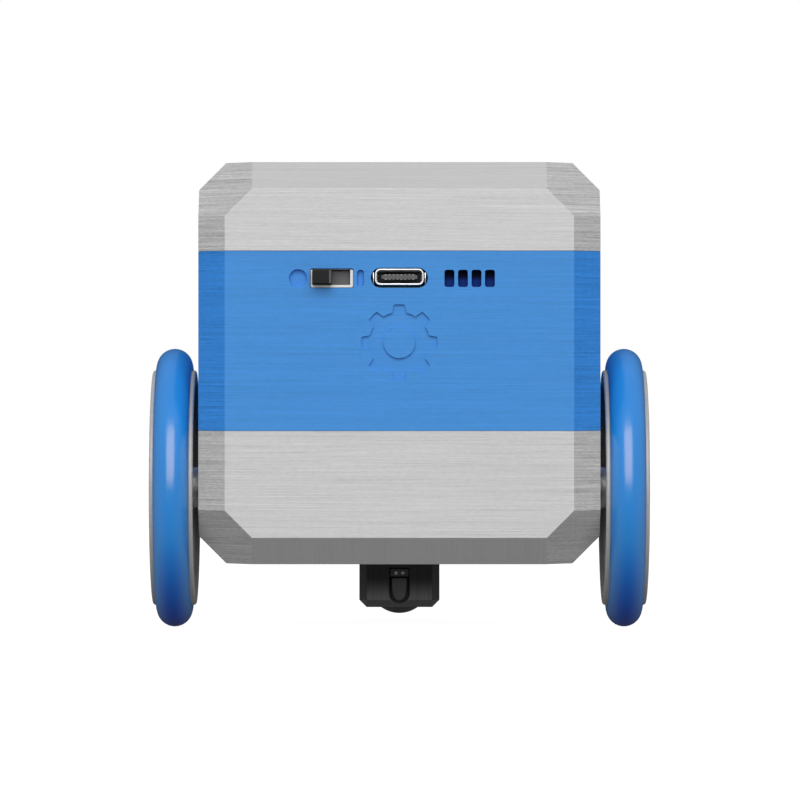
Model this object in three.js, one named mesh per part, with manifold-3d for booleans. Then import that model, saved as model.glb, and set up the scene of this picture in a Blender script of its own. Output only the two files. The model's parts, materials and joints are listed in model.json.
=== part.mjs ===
// Small two-wheeled classroom robot: a chamfered cube body in three flush shells, two side
// wheels with round-section tyres, and a ball caster under the front.
// Millimetres. +Z up, +Y is the driving direction, the origin is on the floor under the body.
import * as THREE from "three";
import { ConvexGeometry } from "three/addons/geometries/ConvexGeometry.js";
import { mergeVertices } from "three/addons/utils/BufferGeometryUtils.js";
import ManifoldModule from "manifold-3d";

const wasm = await ManifoldModule();
wasm.setup();

// ---------------------------------------------------------------- driving dimensions
const BODY = 74; // side of the cube body
const HALF = BODY / 2;
const EDGE = 5; // chamfer leg on the body's edges
const WALL = 2.4;
const BODY_Z = 49.4; // height of the body's centre above the floor
const BOTTOM_Z = BODY_Z - HALF;
const TOP_Z = BODY_Z + HALF;
const LOWER_SEAM_Z = BODY_Z - 12.4;
const UPPER_SEAM_Z = BODY_Z + 20.6;
const SEAM_GAP = 0.06; // between two shells
const FIT = 0.1; // clearance of a piece held in a cut-out
const INNER = HALF - WALL; // inner half-width
const FLOOR_Z = BOTTOM_Z + WALL; // inside floor
const REAR_Y = -HALF; // outside of the rear panel

const AXLE_Y = -10;
const TYRE_TUBE_R = 3.32;
const TYRE_RING_R = 22.73; // radius of the tube's centre line
const AXLE_Z = TYRE_TUBE_R + TYRE_RING_R; // the tyres stand on the floor
const WHEEL_X = 42.12; // middle plane of the wheel
const RIM_HALF = 4.03;
const RIM_R = 22;
const RIM_DISH_R = 19.3;
const INNER_DISH = 0.8; // depth of the dish that faces the body
const OUTER_DISH = 0.9;
const HUB_R = 3.8;
const HUB_END_X = HALF + 0.4; // the hub stops just short of the wall
const AXLE_R = 2;
const AXLE_FROM_X = 25.4;
const AXLE_TO_X = 43.6;
const BUSHING_R = 2.9; // barrel in the wall
const BUSHING_FLANGE_R = 4.2;
const BUSHING_FLANGE = 0.6;
const WHEEL_SCREW_R = 1.05;
const WHEEL_SCREW_HEAD_R = 3.2;
const WHEEL_SCREW_HEAD = 1.5;
const WHEEL_SCREW_LENGTH = 6;
const COUNTERBORE_X = AXLE_TO_X + 0.3; // floor of the wheel screw's counterbore
const RIM_BOSS_R = 5;
const RIM_BOSS_STEP = 0.4; // the boss stands this far inside the rim's outer face

const GEAR_MODULE = 0.5;
const GEAR_TEETH = 36;
const PINION_TEETH = 12;
const GEAR_DISTANCE = (GEAR_MODULE * (GEAR_TEETH + PINION_TEETH)) / 2;
const GEAR_FROM_X = 29.4;
const GEAR_TO_X = 32.4;
const BRACKET_FROM_X = 26.4;
const BRACKET_TO_X = 28.8;
const BRACKET_FOOT_X = 20;
const BRACKET_FOOT = 2; // thickness of its foot
const MOTOR_Z = AXLE_Z + GEAR_DISTANCE;
const MOTOR_R = 10;
const MOTOR_FLAT = 7.55; // half the height across the can's flats
const MOTOR_FROM_X = 2;
const MOTOR_TO_X = 26.2;
const MOTOR_SHAFT_R = 1;
const MOTOR_SHAFT_IN = 4; // how far the shaft reaches into the can
const MOTOR_SHAFT_TIP = 0.3; // and past the pinion
const MOTOR_BOSS_R = 3;
const MOTOR_BOSS = 1.6;

const POST_XY = 27; // the shells' screw posts stand at (+-27, +-27)
const POST_R = 4;
const SCREW_R = 1.45;
const SCREW_HEAD_R = 2.7;
const SCREW_HEAD = 1.8;
const SCREW_LENGTH = 15;
const CLEARANCE = 0.25; // of a screw in a plain hole
const LOWER_HEAD_Z = 28; // underside of the wall that the lower screws' heads meet
const UPPER_HEAD_Z = 62;
const LUG = 8; // height of the mid band's screw lugs
const LIP_ROOM = 2.4; // height left free for the alignment lips
const LIP = 2; // how far a lip stands past its shell's edge
const LIP_INSET = 0.3;
const LIP_THICK = 1.2;
const LIP_ROOT = [3, 0.6]; // the root's far and near end, from its shell's edge
const LIP_BACK = 1.5; // how far the narrow part reaches back into its shell
const UPPER_POST_R = 3.4;
const PILOT_ROOM = 3; // left past the tips of the upper screws
const LUG_ROOF = 1.5; // left over the tips of the lower screws

const BOARD_TOP_Z = 63.5;
const BOARD_THICK = 1.6;
const BOARD_SCREW_X = 29.2;
const BOARD_SCREW_Y = -11;
const BOARD_SCREW_R = 0.95;
const BOARD_SCREW_HEAD_R = 1.9;
const BOARD_SCREW_HEAD = 1.3;
const BOARD_SCREW_LENGTH = 5.5;
const BOARD_HALF_X = 31;
const BOARD_FROM_Y = -22;
const BOARD_TO_Y = 20;
const LEDGE = 5; // height of the board's ledges
const LEDGE_HALF_Y = 16;
const LEDGE_FLOOR = 0.6; // left under the board screws' holes
const TAIL_HALF = 22.3; // half-width of the boards behind the rear and front panels
const TAIL_GAP = 0.6; // between the main board and the rear panel

const PORT_Z = BODY_Z + 15.8; // centre line of the USB-C socket
const PORT_WIDTH = 9;
const PORT_HEIGHT = 3.06;
const PORT_WALL = 0.37;
const PORT_CORNER = 1;
const PORT_BACK = 0.5; // thickness of the socket's closed end
const PORT_STEPS = 5; // facets in each of its round corners
const PORT_HOLE = { z: PORT_Z - 0.16, width: 10.4, height: 3.62, corner: 1.78 }; // in the panel
const PORT_FROM_Y = REAR_Y + 0.1;
const PORT_TO_Y = REAR_Y + 7.4;
const TONGUE_HALF_WIDTH = 3.33;
const TONGUE_HALF_HEIGHT = 0.38;
const TONGUE_FROM_Y = REAR_Y + 0.7;
const TONGUE_ROOT_Y = [PORT_TO_Y - 1.6, PORT_TO_Y - 0.6];
const SWITCH_X = -12.37;
const SWITCH_Z = BODY_Z + 15.57;
const SWITCH_TRAVEL = 3.2;
const BEZEL_WIDTH = 7.73;
const BEZEL_HEIGHT = 3.38;
const BEZEL_WALL = { left: 0.25, right: 0.5, bottom: 0.45, top: 0.15 };
const BEZEL_CORNER = 0.25;
const BEZEL_BACK_Y = REAR_Y + WALL + 0.4;
const SLIDEWAY_CORNER = 0.1;
const SLIDEWAY_Y = REAR_Y + 1.7; // floor that the knob slides over
const SWITCH_BACK_Y = REAR_Y + 7;
const SLIDE_FIT = 0.06;
const KNOB_WIDTH = 3.57;
const KNOB_HEIGHT = 2.5;
const KNOB_PROUD = 2.6; // how far the knob stands out of the rear panel
const KNOB_BACK_Y = REAR_Y + 1.5;
const STEM_HALF = 0.6;
const STEM_HEIGHT = 1;
const STEM_TO_Y = REAR_Y + 3.2;
const CHANNEL_TO_Y = REAR_Y + 3.5; // end of the channel that the stem runs in
const OFF_MARK_X = -18.57;
const OFF_MARK_R = 1.6;
const ON_MARK_X = -7.13;
const ON_MARK_WIDTH = 1.25;
const ON_MARK_HEIGHT = 3;
const ON_MARK_CORNER = 0.62;
const WINDOW_X = [9.16, 11.64, 14.12, 16.57];
const WINDOW_WIDTH = 1.6;
const WINDOW_HEIGHT = 2.94;
const WINDOW_Z = BODY_Z + 15.54;
const WINDOW_RECESS = 1.4;
const WINDOW_CORNER = 0.35;
const EMBLEM_Z = BODY_Z + 3.8;
const EMBLEM_R = 6.95;
const DEBOSS = 0.4;

const BALL_R = 6;
const BALL_Y = 23;
const BALL_Z = 7.07; // with the body level the ball hangs a millimetre off the floor
const SOCKET_R = 6.3;
const CROWN_R = 5; // round boss that keys the caster into the shell
const CROWN_GAP = 0.3; // between the crown and the inside floor's level
const CASTER_HALF_X = 7.69;
const CASTER_FROM_Y = 12.5;
const CASTER_TO_Y = 30.7;
const CASTER_Z = 2.6; // underside of the caster's housing
const CASTER_EDGE = 1.4;
const LATCH_SLOT_HALF = 1.95;
const LATCH_SLOT_Z = [5.35, BOTTOM_Z - 2.2]; // centre of the slot's round end, and its top
const LATCH_DEPTH = 2.8;
const LATCH_GAP = 0.3; // above and below the plate
const LATCH_HINGE_Z = 8.2;
const LATCH_TONGUE_HALF = 1.55;
const LATCH_TONGUE_Y = [CASTER_FROM_Y + 0.5, CASTER_FROM_Y + 1.5];
const LATCH_TIP_R = 1.3;
const LATCH_TIP_Z = 5.2; // centre of the tongue's round end
const LATCH_PLATE_HALF = 1.75;
const LATCH_PLATE_Y = CASTER_FROM_Y + 1.2;
const RIVET_X = 0.68;
const RIVET_Z = 9.2;
const RIVET_R = 0.38;
const RIVET_HEAD_R = 0.6;
const RIVET_HEAD_Y = [CASTER_FROM_Y + 0.75, CASTER_FROM_Y + 1.15];
const CASTER_SCREW_X = 5.6;
const CASTER_SCREW_Y = 28.4;
const CASTER_SCREW_R = 0.85;
const CASTER_SCREW_HEAD_R = 1.8;
const CASTER_SCREW_HEAD = 1.1;
const CASTER_SCREW_LENGTH = 4.6;
const CASTER_SEAT_Z = FLOOR_Z - 1.3; // the screws' heads sit in pockets in the floor

const CELL_R = 9.25;
const CELL_HALF = 32.5;
const CELL_Y = 12;
const CELL_Z = 26.2;
const CELL_FIT = 0.15; // of the cell in its tray
const TRAY_HALF = INNER - 0.4;
const TRAY_FOOT_HALF = INNER - 4.2; // the foot clears the shell's sloping edge
const TRAY_Y = [1.2, 22.6];
const TRAY_TOP_Z = CELL_Z - 1;

const SONAR_X = 13;
const SONAR_Z = 53.4;
const SONAR_R = 8;
const SONAR_WALL = 0.6;
const SONAR_PROUD = 1.5; // how far the sensors stand out of the front panel
const SONAR_MOUTH = 3; // depth of the open front
const SONAR_CONE_R = 3;
const SONAR_CONE_DEPTH = 2; // of the cone's flat tip, from the can's front
const SONAR_BOARD_Y = 22.8;
const SONAR_BOARD_FOOT = 1.2; // how far the board reaches below the cans
const LEAD_TOP_Z = 61.2; // the leads end just under the main board
const BATTERY_LEAD_R = 0.8;
const MOTOR_LEAD_R = 0.7;

// ---------------------------------------------------------------- materials
const finishes = {
  grey: { color: 0xcfcfcf, roughness: 0.5, metalness: 0 },
  blue: { color: 0x4c8ed0, roughness: 0.45, metalness: 0 },
  tyre: { color: 0x3f86cc, roughness: 0.5, metalness: 0 },
  black: { color: 0x1c1c1e, roughness: 0.5, metalness: 0 },
  slate: { color: 0x5a5a5c, roughness: 0.5, metalness: 0 },
  navy: { color: 0x10184a, roughness: 0.2, metalness: 0 },
  steel: { color: 0xc2c4c8, roughness: 0.3, metalness: 1 },
  darkSteel: { color: 0x55585c, roughness: 0.4, metalness: 1 },
  brass: { color: 0xc9a24a, roughness: 0.35, metalness: 1 },
  board: { color: 0x14523a, roughness: 0.5, metalness: 0 },
  gear: { color: 0xe8e6dc, roughness: 0.5, metalness: 0 },
  cell: { color: 0x2f8f6a, roughness: 0.4, metalness: 0 },
  lead: { color: 0x9c2020, roughness: 0.5, metalness: 0 },
};

// ---------------------------------------------------------------- solids
// Turns a closed geometry into a solid, with its faces pointing out.
function solid(geometry) {
  const bare = new THREE.BufferGeometry();
  bare.setAttribute("position", geometry.getAttribute("position"));
  if (geometry.index) bare.setIndex(geometry.index);
  const merged = mergeVertices(bare, 1e-4);
  const vertProperties = new Float32Array(merged.getAttribute("position").array);
  const triVerts = new Uint32Array(merged.index.array);
  if (signedVolume(vertProperties, triVerts) < 0) {
    for (let i = 0; i < triVerts.length; i += 3) {
      [triVerts[i + 1], triVerts[i + 2]] = [triVerts[i + 2], triVerts[i + 1]];
    }
  }
  const mesh = new wasm.Mesh({ numProp: 3, vertProperties, triVerts });
  mesh.merge();
  return new wasm.Manifold(mesh);
}

function signedVolume(points, triangles) {
  const [a, b, c] = [new THREE.Vector3(), new THREE.Vector3(), new THREE.Vector3()];
  let total = 0;
  for (let i = 0; i < triangles.length; i += 3) {
    a.fromArray(points, 3 * triangles[i]);
    b.fromArray(points, 3 * triangles[i + 1]);
    c.fromArray(points, 3 * triangles[i + 2]);
    total += a.dot(b.cross(c));
  }
  return total;
}

function toGeometry(manifold) {
  const mesh = manifold.getMesh();
  const geometry = new THREE.BufferGeometry();
  geometry.setAttribute("position", new THREE.BufferAttribute(mesh.vertProperties, 3));
  geometry.setIndex(new THREE.BufferAttribute(mesh.triVerts, 1));
  geometry.computeVertexNormals();
  return geometry;
}

function cut(body, ...tools) {
  return tools.reduce((rest, tool) => rest.subtract(tool), body);
}

function join(body, ...others) {
  return others.reduce((sum, other) => sum.add(other), body);
}

function box([x0, x1], [y0, y1], [z0, z1]) {
  const geometry = new THREE.BoxGeometry(Math.abs(x1 - x0), y1 - y0, z1 - z0);
  return solid(geometry.translate((x0 + x1) / 2, (y0 + y1) / 2, (z0 + z1) / 2));
}

// A box with chamfered edges, its corners cut to small hexagons as on the body.
function chamferedBox([x0, x1], [y0, y1], [z0, z1], edge) {
  const steps = [
    [0, 1, 2], [0, 2, 1], [1, 0, 2], [1, 2, 0], [2, 0, 1], [2, 1, 0],
  ];
  const points = [];
  for (const [x, inX] of [[x0, edge], [x1, -edge]]) {
    for (const [y, inY] of [[y0, edge], [y1, -edge]]) {
      for (const [z, inZ] of [[z0, edge], [z1, -edge]]) {
        for (const [i, j, k] of steps) {
          points.push(new THREE.Vector3(x + i * inX, y + j * inY, z + k * inZ));
        }
      }
    }
  }
  return solid(new ConvexGeometry(points));
}

// The directions in which a drawn outline is extruded: X, Y (towards the rear) or Z.
const [EX, EY, EZ] = [
  new THREE.Vector3(1, 0, 0), new THREE.Vector3(0, 1, 0), new THREE.Vector3(0, 0, 1),
];
const ALONG_X = new THREE.Matrix4().makeBasis(EY, EZ, EX); // outline in Y and Z
const ALONG_Y = new THREE.Matrix4().makeBasis(EX, EZ, EY.clone().negate()); // in X and Z

function prismX(outline, x0, x1, curveSegments = 8) {
  const from = Math.min(x0, x1);
  const depth = Math.abs(x1 - x0);
  const geometry = new THREE.ExtrudeGeometry(outline, { depth, bevelEnabled: false, curveSegments });
  return solid(geometry.applyMatrix4(ALONG_X).translate(from, 0, 0));
}

function prismY(outline, y0, y1, curveSegments = 2) {
  const depth = y1 - y0;
  const geometry = new THREE.ExtrudeGeometry(outline, { depth, bevelEnabled: false, curveSegments });
  return solid(geometry.applyMatrix4(ALONG_Y).translate(0, y1, 0));
}

function prismZ(outline, z0, z1) {
  const geometry = new THREE.ExtrudeGeometry(outline, { depth: z1 - z0, bevelEnabled: false });
  return solid(geometry.translate(0, 0, z0));
}

function octagon(half, edge) {
  const flat = half - edge;
  const corners = [
    [half, -flat], [half, flat], [flat, half], [-flat, half],
    [-half, flat], [-half, -flat], [-flat, -half], [flat, -half],
  ];
  return new THREE.Shape(corners.map(([x, y]) => new THREE.Vector2(x, y)));
}

// A rectangle with round corners, centred at (x, z).
function roundRect(x, z, width, height, radius) {
  const [l, r, b, t] = [x - width / 2, x + width / 2, z - height / 2, z + height / 2];
  const shape = new THREE.Shape();
  shape.absarc(r - radius, b + radius, radius, -Math.PI / 2, 0);
  shape.absarc(r - radius, t - radius, radius, 0, Math.PI / 2);
  shape.absarc(l + radius, t - radius, radius, Math.PI / 2, Math.PI);
  shape.absarc(l + radius, b + radius, radius, Math.PI, Math.PI * 1.5);
  return shape;
}

function disc(x, z, radius) {
  const shape = new THREE.Shape();
  shape.absarc(x, z, radius, 0, Math.PI * 2);
  return shape;
}

function rodZ(x, y, z0, z1, radius, sides = 10) {
  const geometry = new THREE.CylinderGeometry(radius, radius, z1 - z0, sides);
  return solid(geometry.rotateX(Math.PI / 2).translate(x, y, (z0 + z1) / 2));
}

function rodX(x0, x1, y, z, radius, sides = 16) {
  const geometry = new THREE.CylinderGeometry(radius, radius, Math.abs(x1 - x0), sides);
  return solid(geometry.rotateZ(Math.PI / 2).translate((x0 + x1) / 2, y, z));
}

function rodY(x, z, y0, y1, radius, sides = 24) {
  const geometry = new THREE.CylinderGeometry(radius, radius, y1 - y0, sides);
  return solid(geometry.translate(x, (y0 + y1) / 2, z));
}

// A closed profile of [x, radius] points turned about the axle's line, on the side +1 or -1.
function turnedX(profile, side, sides = 32, y = AXLE_Y, z = AXLE_Z) {
  const loop = [...profile, profile[0]].map(([x, r]) => new THREE.Vector2(r, side * x));
  const geometry = new THREE.LatheGeometry(loop, sides);
  return solid(geometry.rotateZ(-Math.PI / 2).translate(0, y, z));
}

function arcPoints(cx, cy, radius, from, to, steps) {
  const points = [];
  for (let i = 0; i <= steps; i += 1) {
    const angle = from + ((to - from) * i) / steps;
    points.push([cx + radius * Math.cos(angle), cy + radius * Math.sin(angle)]);
  }
  return points;
}

// A tube of round section along a smooth route of [x, y, z] points.
function tube(route, radius) {
  const path = new THREE.CatmullRomCurve3(route.map((p) => new THREE.Vector3(...p)));
  const section = disc(0, 0, radius);
  const steps = route.length * 3;
  return solid(new THREE.ExtrudeGeometry(section, { extrudePath: path, steps, curveSegments: 3 }));
}

// A full-depth involute gear outline; `phase` turns the first tooth away from +Y.
function gearOutline(teeth, phase, centreY, centreZ) {
  const pressure = THREE.MathUtils.degToRad(20);
  const backlash = 0.16;
  const pitchR = (GEAR_MODULE * teeth) / 2;
  const baseR = pitchR * Math.cos(pressure);
  const tipR = pitchR + GEAR_MODULE;
  const rootR = pitchR - 1.2 * GEAR_MODULE;
  const involute = (angle) => Math.tan(angle) - angle;
  const halfAngle = (radius) => {
    const slope = Math.acos(baseR / Math.max(radius, baseR));
    return Math.PI / (2 * teeth) - backlash / (2 * pitchR) + involute(pressure) - involute(slope);
  };
  const radii = [rootR, pitchR, tipR];
  const points = [];
  for (let tooth = 0; tooth < teeth; tooth += 1) {
    const centre = phase + (tooth * 2 * Math.PI) / teeth;
    const flank = (radius, sign) => {
      const angle = centre + sign * halfAngle(radius);
      return [centreY + radius * Math.cos(angle), centreZ + radius * Math.sin(angle)];
    };
    points.push(...radii.map((radius) => flank(radius, -1)));
    points.push(...[...radii].reverse().map((radius) => flank(radius, 1)));
  }
  return new THREE.Shape(points.map(([y, z]) => new THREE.Vector2(y, z)));
}

// ---------------------------------------------------------------- shells
const corners = [[-1, -1], [1, -1], [-1, 1], [1, 1]];
const ROOT = 0.5; // how far a lug, lip or post runs into the wall it grows from
const PAST = 1; // how far a cutting tool runs past the face it opens
const SEATED = 0.05; // gap under a screw's head
const innerEdge = EDGE - (2 - Math.SQRT2) * WALL; // keeps the wall even at the chamfers

function bodyBlock(inset = 0) {
  const half = HALF - inset;
  const edge = inset ? innerEdge : EDGE;
  const across = [-half, half];
  return chamferedBox(across, across, [BODY_Z - half, BODY_Z + half], edge);
}

function slab(z0, z1) {
  return box([-BODY, BODY], [-BODY, BODY], [z0, z1]);
}

// A thin rim inside the joint, which keeps two shells in line: `root` inside its own shell's
// wall, `tip` standing past the seam.
function alignmentLip(rootFrom, rootTo, tipFrom, tipTo) {
  const inside = octagon(INNER - LIP_INSET - LIP_THICK, innerEdge);
  const wide = prismZ(octagon(INNER + ROOT, innerEdge), rootFrom, rootTo);
  const narrow = prismZ(octagon(INNER - LIP_INSET, innerEdge), tipFrom, tipTo);
  return cut(join(wide, narrow), prismZ(inside, BOTTOM_Z, TOP_Z));
}

// Four lugs that fill the corners of the band from z0 to z1.
function cornerLugs(z0, z1) {
  const near = POST_XY - POST_R;
  const inside = prismZ(octagon(INNER + ROOT, innerEdge), z0, z1);
  return corners.map(([sx, sy]) => {
    const xs = [near * sx, HALF * sx].sort((a, b) => a - b);
    const ys = [near * sy, HALF * sy].sort((a, b) => a - b);
    return inside.intersect(box(xs, ys, [z0, z1]));
  });
}

function cornerRods(z0, z1, radius) {
  return corners.map(([sx, sy]) => rodZ(sx * POST_XY, sy * POST_XY, z0, z1, radius));
}

function lowerShell() {
  const top = LOWER_SEAM_Z - SEAM_GAP / 2;
  const tub = cut(bodyBlock(), bodyBlock(WALL), slab(top, TOP_Z + PAST));
  const lip = alignmentLip(top - LIP_ROOT[0], top - LIP_ROOT[1], top - LIP_BACK, top + LIP);
  const posts = cornerRods(FLOOR_Z - ROOT, top, POST_R);
  const bores = [
    ...cornerRods(0, LOWER_HEAD_Z, SCREW_HEAD_R + 2 * FIT),
    ...cornerRods(0, BODY_Z, SCREW_R + CLEARANCE),
    rodX(-BODY, BODY, AXLE_Y, AXLE_Z, BUSHING_R + FIT),
    rodZ(0, BALL_Y, 0, FLOOR_Z + PAST, CROWN_R + 2 * FIT, 20), // crown of the caster's housing
    ...casterScrewPlaces.flatMap(([x, y]) => [
      rodZ(x, y, 0, FLOOR_Z + PAST, CASTER_SCREW_R + CLEARANCE, 12),
      rodZ(x, y, CASTER_SEAT_Z, FLOOR_Z + PAST, CASTER_SCREW_HEAD_R + 2 * FIT, 16),
    ]),
  ];
  return cut(join(tub, lip, ...posts), ...bores);
}

function midBand() {
  const [bottom, top] = [LOWER_SEAM_Z + SEAM_GAP / 2, UPPER_SEAM_Z - SEAM_GAP / 2];
  const ring = cut(
    prismZ(octagon(HALF, EDGE), bottom, top),
    prismZ(octagon(INNER, innerEdge), bottom - PAST, top + PAST),
  );
  const lugs = [
    ...cornerLugs(bottom + LIP_ROOM, bottom + LIP_ROOM + LUG),
    ...cornerLugs(UPPER_HEAD_Z, top - LIP_ROOM),
  ];
  const under = BOARD_TOP_Z - BOARD_THICK - FIT;
  const ledges = [-1, 1].map((side) => {
    const xs = [side * POST_XY, side * (INNER + ROOT)].sort((a, b) => a - b);
    return box(xs, [-LEDGE_HALF_Y, LEDGE_HALF_Y], [under - LEDGE, under]);
  });
  const ledgeBores = boardScrewPlaces.map(([x, y]) => {
    return rodZ(x, y, under - LEDGE + LEDGE_FLOOR, under + PAST, BOARD_SCREW_R + FIT, 12);
  });
  const eyes = [-1, 1].map((side) => {
    return rodY(side * SONAR_X, SONAR_Z, INNER - PAST, HALF + PAST, SONAR_R + 2 * FIT, 28);
  });
  return cut(
    join(ring, ...lugs, ...ledges),
    ...cornerRods(bottom, bottom + LIP_ROOM + LUG - LUG_ROOF, SCREW_R + FIT),
    ...cornerRods(UPPER_HEAD_Z - PAST, top + PAST, SCREW_R + CLEARANCE),
    ...ledgeBores,
    ...rearPanelCuts(),
    ...eyes,
  );
}

function rearPanelCuts() {
  const through = [REAR_Y - PAST, REAR_Y + WALL + PAST];
  const shallow = [REAR_Y - PAST, REAR_Y + DEBOSS];
  const [windowWidth, windowHeight] = [WINDOW_WIDTH + 2 * FIT, WINDOW_HEIGHT + 2 * FIT];
  const [bezelWidth, bezelHeight] = [BEZEL_WIDTH + 2 * FIT, BEZEL_HEIGHT + 2 * FIT];
  const openings = [
    roundRect(0, PORT_HOLE.z, PORT_HOLE.width, PORT_HOLE.height, PORT_HOLE.corner),
    roundRect(SWITCH_X, SWITCH_Z, bezelWidth, bezelHeight, BEZEL_CORNER + FIT),
    ...WINDOW_X.map((x) => roundRect(x, WINDOW_Z, windowWidth, windowHeight, WINDOW_CORNER + FIT)),
  ];
  const offMark = disc(OFF_MARK_X, SWITCH_Z, OFF_MARK_R);
  const onMark = roundRect(ON_MARK_X, SWITCH_Z, ON_MARK_WIDTH, ON_MARK_HEIGHT, ON_MARK_CORNER);
  return [
    ...openings.map((outline) => prismY(outline, ...through)),
    prismY(offMark, ...shallow, 8),
    prismY(onMark, ...shallow),
    prismY(emblemOutline(), ...shallow, 8),
  ];
}

// A plain cog-wheel emblem: eight blunt teeth round a raised ring with a sunk middle.
function emblemOutline() {
  const teeth = 8;
  const rootR = EMBLEM_R * 0.8;
  const pitch = (2 * Math.PI) / teeth;
  const points = [];
  for (let tooth = 0; tooth < teeth; tooth += 1) {
    const centre = Math.PI / 2 + tooth * pitch;
    for (const [radius, share] of [[rootR, -0.3], [EMBLEM_R, -0.19], [EMBLEM_R, 0.19], [rootR, 0.3]]) {
      const angle = centre + share * pitch;
      points.push(new THREE.Vector2(radius * Math.cos(angle), EMBLEM_Z + radius * Math.sin(angle)));
    }
  }
  const outline = new THREE.Shape(points);
  outline.holes.push(disc(0, EMBLEM_Z, EMBLEM_R * 0.42));
  return outline;
}

function upperShell() {
  const bottom = UPPER_SEAM_Z + SEAM_GAP / 2;
  const lid = cut(bodyBlock(), bodyBlock(WALL), slab(0, bottom));
  const lip = alignmentLip(bottom + LIP_ROOT[1], bottom + LIP_ROOT[0], bottom - LIP, bottom + LIP_BACK);
  const posts = cornerRods(bottom - LIP_ROOM + 2 * FIT, TOP_Z - WALL + ROOT, UPPER_POST_R);
  const pilots = cornerRods(bottom - BODY / 2, UPPER_HEAD_Z + SCREW_LENGTH + PILOT_ROOM, SCREW_R + FIT);
  return cut(join(lid, lip, ...posts), ...pilots);
}

// A pan-head cross-recess screw pointing up, its head's upper face just under `headZ`.
function shellScrew(x, y, headZ) {
  const top = headZ - SEATED;
  const head = rodZ(x, y, top - SCREW_HEAD, top, SCREW_HEAD_R, 14);
  const [long, short, depth] = [1.2, 0.35, SCREW_HEAD / 2];
  const recessZ = [top - SCREW_HEAD - PAST, top - depth];
  const recess = box([x - long, x + long], [y - short, y + short], recessZ);
  const crossRecess = box([x - short, x + short], [y - long, y + long], recessZ);
  const shank = rodZ(x, y, top - ROOT, top + SCREW_LENGTH, SCREW_R, 10);
  return cut(join(head, shank), recess, crossRecess);
}

// ---------------------------------------------------------------- electronics
const boardScrewPlaces = [[-BOARD_SCREW_X, BOARD_SCREW_Y], [BOARD_SCREW_X, BOARD_SCREW_Y]];

function mainBoard() {
  const zs = [BOARD_TOP_Z - BOARD_THICK, BOARD_TOP_Z];
  const wide = box([-BOARD_HALF_X, BOARD_HALF_X], [BOARD_FROM_Y, BOARD_TO_Y], zs);
  const tail = box([-TAIL_HALF, TAIL_HALF], [REAR_Y + WALL + TAIL_GAP, BOARD_FROM_Y + PAST], zs);
  const holes = boardScrewPlaces.map(([x, y]) => rodZ(x, y, 0, TOP_Z, BOARD_SCREW_R + CLEARANCE, 12));
  return cut(join(wide, tail), ...holes);
}

function downScrew(x, y, seatZ, [headR, headHeight], shankR, length) {
  const head = rodZ(x, y, seatZ, seatZ + headHeight, headR, 16);
  return join(head, rodZ(x, y, seatZ - length, seatZ + ROOT, shankR, 10));
}

// The window in the bezel, which the knob slides in.
const slideway = {
  left: SWITCH_X - BEZEL_WIDTH / 2 + BEZEL_WALL.left,
  right: SWITCH_X + BEZEL_WIDTH / 2 - BEZEL_WALL.right,
  bottom: SWITCH_Z - BEZEL_HEIGHT / 2 + BEZEL_WALL.bottom,
  top: SWITCH_Z + BEZEL_HEIGHT / 2 - BEZEL_WALL.top,
};
const knobLeft = slideway.left + SLIDE_FIT;
const knobTop = slideway.top - SLIDE_FIT;

function switchBezel() {
  const { left, right, bottom, top } = slideway;
  const [x, z, width, height] = [(left + right) / 2, (bottom + top) / 2, right - left, top - bottom];
  const outline = roundRect(SWITCH_X, SWITCH_Z, BEZEL_WIDTH, BEZEL_HEIGHT, BEZEL_CORNER);
  outline.holes.push(roundRect(x, z, width, height, SLIDEWAY_CORNER));
  return prismY(outline, REAR_Y, BEZEL_BACK_Y, 3);
}

function switchBody() {
  const { left, right, bottom, top } = slideway;
  const [xs, zs] = [[left + SLIDE_FIT, right - SLIDE_FIT], [bottom + SLIDE_FIT, top - SLIDE_FIT]];
  const block = box(xs, [SLIDEWAY_Y, SWITCH_BACK_Y], zs);
  const stemX = knobLeft + KNOB_WIDTH / 2;
  const stemZ = knobTop - KNOB_HEIGHT / 2;
  const room = STEM_HEIGHT / 2 + 2 * FIT;
  const channel = box(
    [stemX - STEM_HALF - 2 * FIT, stemX + SWITCH_TRAVEL + STEM_HALF + 2 * FIT],
    [SLIDEWAY_Y - PAST, CHANNEL_TO_Y], [stemZ - room, stemZ + room],
  );
  return cut(block, channel);
}

function switchKnob() {
  const cap = box(
    [knobLeft, knobLeft + KNOB_WIDTH], [REAR_Y - KNOB_PROUD, KNOB_BACK_Y], [knobTop - KNOB_HEIGHT, knobTop],
  );
  const stemX = knobLeft + KNOB_WIDTH / 2;
  const stemZ = knobTop - KNOB_HEIGHT / 2;
  const stem = box(
    [stemX - STEM_HALF, stemX + STEM_HALF], [KNOB_BACK_Y - ROOT, STEM_TO_Y],
    [stemZ - STEM_HEIGHT / 2, stemZ + STEM_HEIGHT / 2],
  );
  return join(cap, stem);
}

// The socket's outline drawn in by `inset`.
function portOutline(inset) {
  const [width, height] = [PORT_WIDTH - 2 * inset, PORT_HEIGHT - 2 * inset];
  return roundRect(0, PORT_Z, width, height, PORT_CORNER - inset);
}

function usbShell() {
  const outside = prismY(portOutline(0), PORT_FROM_Y, PORT_TO_Y, PORT_STEPS);
  const inside = prismY(portOutline(PORT_WALL), REAR_Y - PAST, PORT_TO_Y - PORT_BACK, PORT_STEPS);
  return cut(outside, inside);
}

function usbTongue() {
  const tongue = box(
    [-TONGUE_HALF_WIDTH, TONGUE_HALF_WIDTH], [TONGUE_FROM_Y, TONGUE_ROOT_Y[0] + ROOT],
    [PORT_Z - TONGUE_HALF_HEIGHT, PORT_Z + TONGUE_HALF_HEIGHT],
  );
  return join(tongue, prismY(portOutline(PORT_WALL + FIT), ...TONGUE_ROOT_Y, PORT_STEPS));
}

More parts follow.
